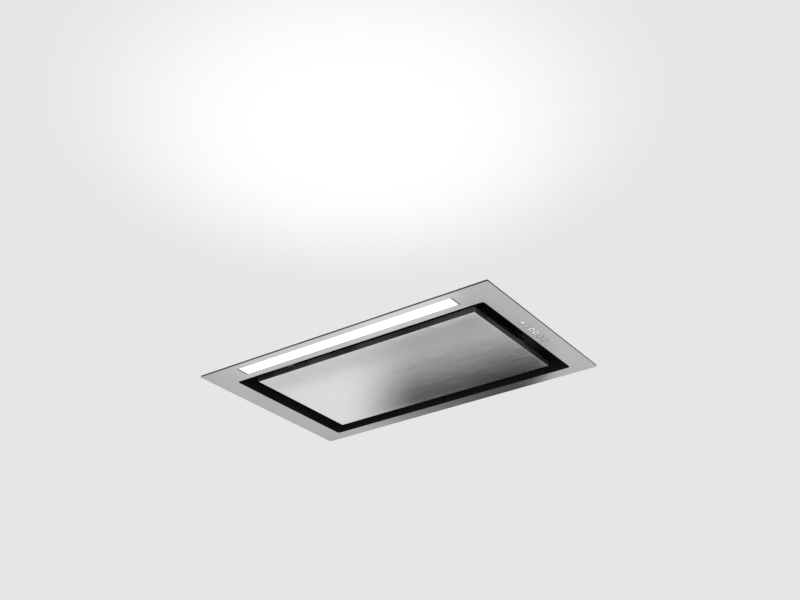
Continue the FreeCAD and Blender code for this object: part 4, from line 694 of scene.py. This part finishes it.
class HOOD_OT_filter(bpy.types.Operator):
    """Aluminium grease filter with its expanded net, and the latch"""

    bl_idname = "hood.filter"
    bl_label = "Grease filter"

    def execute(self, context):
        looks, sizes = context.scene.hood_finish, context.scene.hood_fittings
        metal = rolled_aluminium("filter_aluminium", looks.aluminium)
        dress(metal, "filter_mesh")
        dress(rolled_aluminium("filter_anodised", looks.anodised), "filter_frame")
        dress(moulded("latch_black", looks.black_plastic), "filter_latch")
        low, high = corners("filter_mesh")
        frame_low, frame_high = corners("filter_frame")
        # The net leaves a well free round the latch.
        well_gap, well_depth = 0.0046, 0.0180
        well_side, well_back = corners("filter_latch")[1][0] + well_gap, low[1] + well_depth
        levels = (frame_low[2] + sizes.net_depth, frame_high[2] - sizes.net_depth)
        net = (sizes.net_pitch, sizes.net_strand)
        spans = ((low[0], -well_side), (well_side, high[0]))
        main = [net_strands((low[0], high[0]), (well_back, high[1]), z, *net) for z in levels]
        beside = [net_strands(span, (low[1], well_back), z, *net) for z in levels for span in spans]
        for name, strips in (("filter_net", main), ("filter_net_front", beside)):
            points = np.concatenate(strips)
            patches(name, points, "hood", metal, closed_v=True, smooth=False)
        return {"FINISHED"}


class HOOD_OT_casing(bpy.types.Operator):
    """Galvanised casings and the screws of the motor casing's flange"""

    bl_idname = "hood.casing"
    bl_label = "Casings"

    def execute(self, context):
        looks, sizes = context.scene.hood_finish, context.scene.hood_fittings
        dress(galvanised("casing_zinc", looks.zinc), "lower_casing", "motor_casing")
        low, high = corners("motor_casing")
        flange_sheet, first_x, first_y, count_x, count_y = 0.0010, 0.02, 0.04, 4, 3
        top, inset = low[2] + flange_sheet, sizes.casing_inset
        x0, x1, y0, y1 = low[0] + inset, high[0] - inset, low[1] + inset, high[1] - inset
        across = np.linspace(x0 + first_x, x1 - first_x, count_x)
        along = np.linspace(y0 + first_y, y1 - first_y, count_y)
        spots = [(x, y, top) for y in (y0, y1) for x in across]
        spots += [(x, y, top) for x in (x0, x1) for y in along]
        screw_heads("casing_screws", spots, sizes, plated("casing_screw_plate", looks.bright))
        return {"FINISHED"}


class HOOD_OT_outlet(bpy.types.Operator):
    """Outlet collar with its beads and screws, the non-return flaps and their pin"""

    bl_idname = "hood.outlet"
    bl_label = "Duct outlet"

    def execute(self, context):
        looks, sizes = context.scene.hood_finish, context.scene.hood_fittings
        black = moulded("collar_black", looks.black_plastic)
        dress(black, "outlet_collar")
        dress(moulded("flap_grey", looks.grey_plastic), "outlet_flap_front", "outlet_flap_back")
        bright = plated("flap_pin_plate", looks.bright)
        dress(bright, "flap_pin")
        low, high = corners("outlet_collar")
        flange_rim, flange_sheet = 0.020, 0.0025
        bead_drops, bead_sink, bead_share, sides, steps = (0.006, 0.014), 0.0004, 0.7, 12, 96
        middle = ((low[0] + high[0]) / 2, (low[1] + high[1]) / 2, 0.0)
        spigot = (high[0] - low[0]) / 2 - flange_rim
        turn = full_circle(sides)
        for number, drop in enumerate(bead_drops):
            radius = spigot - bead_sink + sizes.bead * np.cos(turn)
            height = high[2] - drop + bead_share * sizes.bead * np.sin(turn)
            ring = turned_round(np.stack([radius, height], axis=1), middle, steps)
            name = f"spigot_bead_{number}"
            patches(name, ring, "hood", black, closed_u=True, closed_v=True)
        holes = inner_corners(low, high, sizes.collar_inset, sizes.collar_inset)
        screw_heads("collar_screws", [(*hole, low[2] + flange_sheet) for hole in holes], sizes, bright)
        return {"FINISHED"}


class HOOD_OT_blower(bpy.types.Operator):
    """Scroll, impeller and motor"""

    bl_idname = "hood.blower"
    bl_label = "Blower"

    def execute(self, context):
        looks = context.scene.hood_finish
        dress(moulded("scroll_grey", looks.grey_plastic, gloss=0.48), "scroll_left", "scroll_right")
        dress(moulded("impeller_black", looks.black_plastic, gloss=0.36), "impeller")
        dress(galvanised("motor_zinc", looks.zinc), "motor_can", "motor_spider")
        dress(plated("shaft_plate", looks.bright), "motor_shaft")
        return {"FINISHED"}


class HOOD_OT_electrics(bpy.types.Operator):
    """Control box, cable gland, light driver and capacitor, with their screws"""

    bl_idname = "hood.electrics"
    bl_label = "Electrical pieces"

    def execute(self, context):
        looks, sizes = context.scene.hood_finish, context.scene.hood_fittings
        box_black = moulded("control_black", looks.black_plastic, gloss=0.5, grain=500.0)
        dress(box_black, "control_box", "control_lid", "board_parts")
        dress(moulded("gland_black", looks.black_plastic, gloss=0.34), "cable_gland")
        dress(lacquered_board("control_green", looks.green_board), "control_board")
        dress(moulded("driver_white", looks.white_plastic, gloss=0.4), "led_driver")
        dress(rolled_aluminium("capacitor_can", looks.aluminium), "run_capacitor")
        dress(galvanised("clip_zinc", looks.zinc), "capacitor_clip")
        low, high = corners("control_lid")
        spots = [(*hole, high[2]) for hole in inner_corners(low, high, sizes.lid_inset, sizes.lid_inset)]
        low, high = corners("led_driver")
        ear_x, ear_y, ear_sheet = 0.005, 0.010, 0.002
        spots += [(*hole, low[2] + ear_sheet) for hole in inner_corners(low, high, ear_x, ear_y)]
        low, high = corners("capacitor_clip")
        foot_x, foot_sheet = 0.006, 0.0012
        feet = (low[0] + foot_x, high[0] - foot_x)
        spots += [(x, (low[1] + high[1]) / 2, low[2] + foot_sheet) for x in feet]
        screw_heads("electrical_screws", spots, sizes, plated("lid_screw_plate", looks.bright))
        return {"FINISHED"}


def stage_plane(name, verts, faces, material, camera=True, light=True):
    """A flat stage piece; it may be hidden from the camera, or from soft light and shadows."""
    mesh = bpy.data.meshes.new(name)
    mesh.from_pydata(verts, [], faces)
    mesh.materials.append(material)
    board = bpy.data.objects.new(name, mesh)
    bpy.context.scene.collection.objects.link(board)
    board.visible_camera = camera
    board.visible_diffuse = light
    board.visible_shadow = light
    return board


def rectangle(low_x, low_y, high_x, high_y, level):
    """Four corners of a level rectangle, turning left as seen from above."""
    return [(low_x, low_y, level), (high_x, low_y, level), (high_x, high_y, level), (low_x, high_y, level)]


class HOOD_OT_stage(bpy.types.Operator):
    """Camera, backdrop, floor and soft studio light"""

    bl_idname = "hood.stage"
    bl_label = "Stage"

    def execute(self, context):
        scene, stage = context.scene, context.scene.hood_stage
        scene.view_settings.view_transform = "Standard"
        self.camera(scene)
        self.backdrop(stage)
        self.floor(stage)
        self.card()
        self.world(scene, stage)
        self.lamps(scene, stage)
        return {"FINISHED"}

    def camera(self, scene):
        """The photograph's viewing angle: from below, in front and to the right."""
        spot = (1.07732, -1.61839, -0.91055)
        turn, rise, roll = (math.radians(a) for a in (33.4796, 28.4715, -1.3444))
        flat = math.cos(rise)
        ahead = Vector((-math.sin(turn) * flat, math.cos(turn) * flat, math.sin(rise)))
        level = Vector((math.cos(turn), math.sin(turn), 0.0))
        upward = level.cross(ahead)
        right = math.cos(roll) * level + math.sin(roll) * upward
        up = math.cos(roll) * upward - math.sin(roll) * level
        data = bpy.data.cameras.new("camera")
        data.sensor_width = 36.0
        data.lens = 53.652
        data.clip_end = 60.0
        eye = bpy.data.objects.new("camera", data)
        turned = Matrix((right, up, -ahead)).transposed().to_4x4()
        eye.matrix_world = Matrix.Translation(spot) @ turned
        scene.collection.objects.link(eye)
        scene.camera = eye

    def backdrop(self, stage):
        """A pale board in the plane of the cabinet's underside, seen only from below, with the hood's
        cut-out. It glows round a point in front of the hood."""
        material, start, out = plain_shader("backdrop_pale")
        glow_x, glow_y, glow_full, glow_end = 0.36, -0.62, 0.12, 0.42
        place = start.node("ShaderNodeTexCoord", {}, {}, "Object")
        moved = start.node("ShaderNodeMapping", {}, {"Vector": place, "Location": (-glow_x, -glow_y, 0.0)})
        away = start.node("ShaderNodeVectorMath", {"operation": "LENGTH"}, {0: moved}, "Value")
        tone = away.step(glow_full, glow_end).mix(stage.glow, stage.backdrop)
        shown = start.node("ShaderNodeEmission", {}, {"Color": tone, "Strength": 1.0})
        clear = start.node("ShaderNodeBsdfTransparent", {}, {})
        behind = start.node("ShaderNodeNewGeometry", {}, {}, "Backfacing")
        mixed = start.node("ShaderNodeMixShader", {}, {0: behind, 1: shown, 2: clear})
        start.tree.links.new(mixed.socket, out.inputs["Surface"])
        far, hole_x, hole_y, level = 14.0, 0.2910, 0.1895, 0.0002
        verts = rectangle(-far, -far, far, far, level)
        verts += rectangle(-hole_x, -hole_y, hole_x, hole_y, level)
        faces = [(i, i + 4, (i + 1) % 4 + 4, (i + 1) % 4) for i in range(4)]
        board = stage_plane("backdrop", verts, faces, material, light=False)
        board.visible_glossy = False
        board.visible_transmission = False

    def floor(self, stage):
        """A plain pale floor below the camera."""
        material, start, out = plain_shader("floor_pale")
        matt = start.node("ShaderNodeBsdfDiffuse", {}, {"Color": stage.floor})
        start.tree.links.new(matt.socket, out.inputs["Surface"])
        far = 40.0
        stage_plane("floor", rectangle(-far, -far, far, far, stage.floor_level), [(0, 1, 2, 3)], material)

    def card(self):
        """A large card on the floor behind the hood, which only shiny metal sees. It is pale. A dark field
        with slanted sides deepens away from the hood, a grey veil lies before it, and a bright strip lies
        nearest to the hood."""
        material, start, out = plain_shader("card_dark")
        place = start.node("ShaderNodeTexCoord", {}, {}, "Object")
        x, y = place.axis(0), place.axis(1)
        # Bands on the card, in metres: start and end, and how far they ease in before and out behind.
        field_y = (2.71, 3.90, 0.07, 0.70)
        veil_x, veil_y = (-2.62, -1.38, 0.14, 0.08), (2.66, 2.72, 0.05, 0.22)
        strip_x, strip_y = (-2.55, -1.42, 0.17, 0.17), (2.38, 2.585, 0.10, 0.06)
        bright_x = (-1.78, -1.45, 0.20, 0.20)
        left_slant, right_slant, right_turn = 0.70, 0.85, 3.40
        depth = start.node("ShaderNodeMapRange", {}, {"Value": y, "From Min": 2.86, "From Max": 3.36})
        left = (x + left_slant * y).step(-0.28, 0.25)
        right = 1.0 - (x + right_slant * y.math("MAXIMUM", y, right_turn)).step(1.555, 1.605)
        far_left = y.step(3.40, 3.50) * (1.0 - x.step(-2.85, -1.55))
        dark = (0.38 + 0.565 * depth) * left * right * (1.0 - far_left) * y.band(*field_y)
        veil = 0.31 * y.band(*veil_y) * x.band(*veil_x)
        strip = y.band(*strip_y) * (0.33 * x.band(*strip_x) + 0.30 * x.band(*bright_x))
        pale = 0.84 + 0.15 * x.step(-2.76, -2.62) - veil - 0.14 * y.step(3.42, 3.52)
        tone = pale * (1.0 - dark) + strip
        brightest = 1.7
        grey = (tone / brightest).mix(BLACK, WHITE)
        shown = start.node("ShaderNodeEmission", {}, {"Color": grey, "Strength": brightest})
        start.tree.links.new(shown.socket, out.inputs["Surface"])
        level = -1.69
        verts = rectangle(-4.6, 0.9, 1.2, 5.6, level)
        stage_plane("dark_card", verts, [(0, 1, 2, 3)], material, camera=False, light=False)

    def world(self, scene, stage):
        """Pale to the eye and in reflections, and a plain ambient light on everything else."""
        world = bpy.data.worlds.new("studio")
        scene.world = world
        world.use_nodes = True
        world.node_tree.nodes.clear()
        start = Shade(world.node_tree)
        path = start.node("ShaderNodeLightPath", {}, {}, "Is Camera Ray")
        rays = path.socket.node.outputs
        mirrored = Shade(start.tree, rays["Is Glossy Ray"])
        through = Shade(start.tree, rays["Is Transmission Ray"])
        seen = path + mirrored + through
        pale = start.node("ShaderNodeBackground", {}, {"Color": stage.backdrop, "Strength": 1.0})
        ambient = start.node("ShaderNodeBackground", {}, {"Color": WHITE, "Strength": stage.ambient})
        shaders = {0: seen.math("MINIMUM", seen, 1.0), 1: ambient, 2: pale}
        mixed = start.node("ShaderNodeMixShader", {}, shaders)
        out = world.node_tree.nodes.new("ShaderNodeOutputWorld")
        start.tree.links.new(mixed.socket, out.inputs["Surface"])

    def lamps(self, scene, stage):
        """One large soft lamp above and one below. A row gives its name, power, size, spot and aim."""
        key = ("key_lamp", stage.key, 3.4, (-1.9, -1.2, 2.9), (0.0, 0.0, 0.12))
        fill = ("fill_lamp", stage.fill, 2.8, (0.9, -1.6, -1.5), (0.0, 0.0, 0.0))
        for name, watts, size, spot, aim in (key, fill):
            data = bpy.data.lights.new(name, "AREA")
            data.size = size
            data.energy = watts
            lamp = bpy.data.objects.new(name, data)
            lamp.location = spot
            lamp.rotation_euler = (Vector(aim) - Vector(spot)).to_track_quat("-Z", "Y").to_euler()
            scene.collection.objects.link(lamp)


OPERATORS = (
    HOOD_OT_steel,
    HOOD_OT_recess,
    HOOD_OT_light,
    HOOD_OT_buttons,
    HOOD_OT_filter,
    HOOD_OT_casing,
    HOOD_OT_outlet,
    HOOD_OT_blower,
    HOOD_OT_electrics,
    HOOD_OT_stage,
)


class HOOD_PT_sidebar(bpy.types.Panel):
    """Lists the hood's pieces and their sizes and colours"""

    bl_label = "Range hood"
    bl_space_type = "VIEW_3D"
    bl_region_type = "UI"
    bl_category = "Hood"

    def draw(self, context):
        for operator in OPERATORS:
            self.layout.operator(operator.bl_idname)
        for group in (context.scene.hood_finish, context.scene.hood_fittings, context.scene.hood_stage):
            box = self.layout.box()
            for name in group.bl_rna.properties.keys():
                if name not in ("rna_type", "name"):
                    box.prop(group, name)


CLASSES = (HoodFinish, HoodFittings, HoodStage, *OPERATORS, HOOD_PT_sidebar)


def register():
    """Registers the classes and hangs their properties on the scene."""
    for item in CLASSES:
        bpy.utils.register_class(item)
    bpy.types.Scene.hood_finish = PointerProperty(type=HoodFinish)
    bpy.types.Scene.hood_fittings = PointerProperty(type=HoodFittings)
    bpy.types.Scene.hood_stage = PointerProperty(type=HoodStage)


def unregister():
    """Takes everything back."""
    del bpy.types.Scene.hood_stage
    del bpy.types.Scene.hood_fittings
    del bpy.types.Scene.hood_finish
    for item in reversed(CLASSES):
        bpy.utils.unregister_class(item)


def main():
    """Builds every group in order."""
    register()
    for operator in OPERATORS:
        group, name = operator.bl_idname.split(".")
        getattr(getattr(bpy.ops, group), name)()
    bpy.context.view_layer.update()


if __name__ == "__main__":
    main()
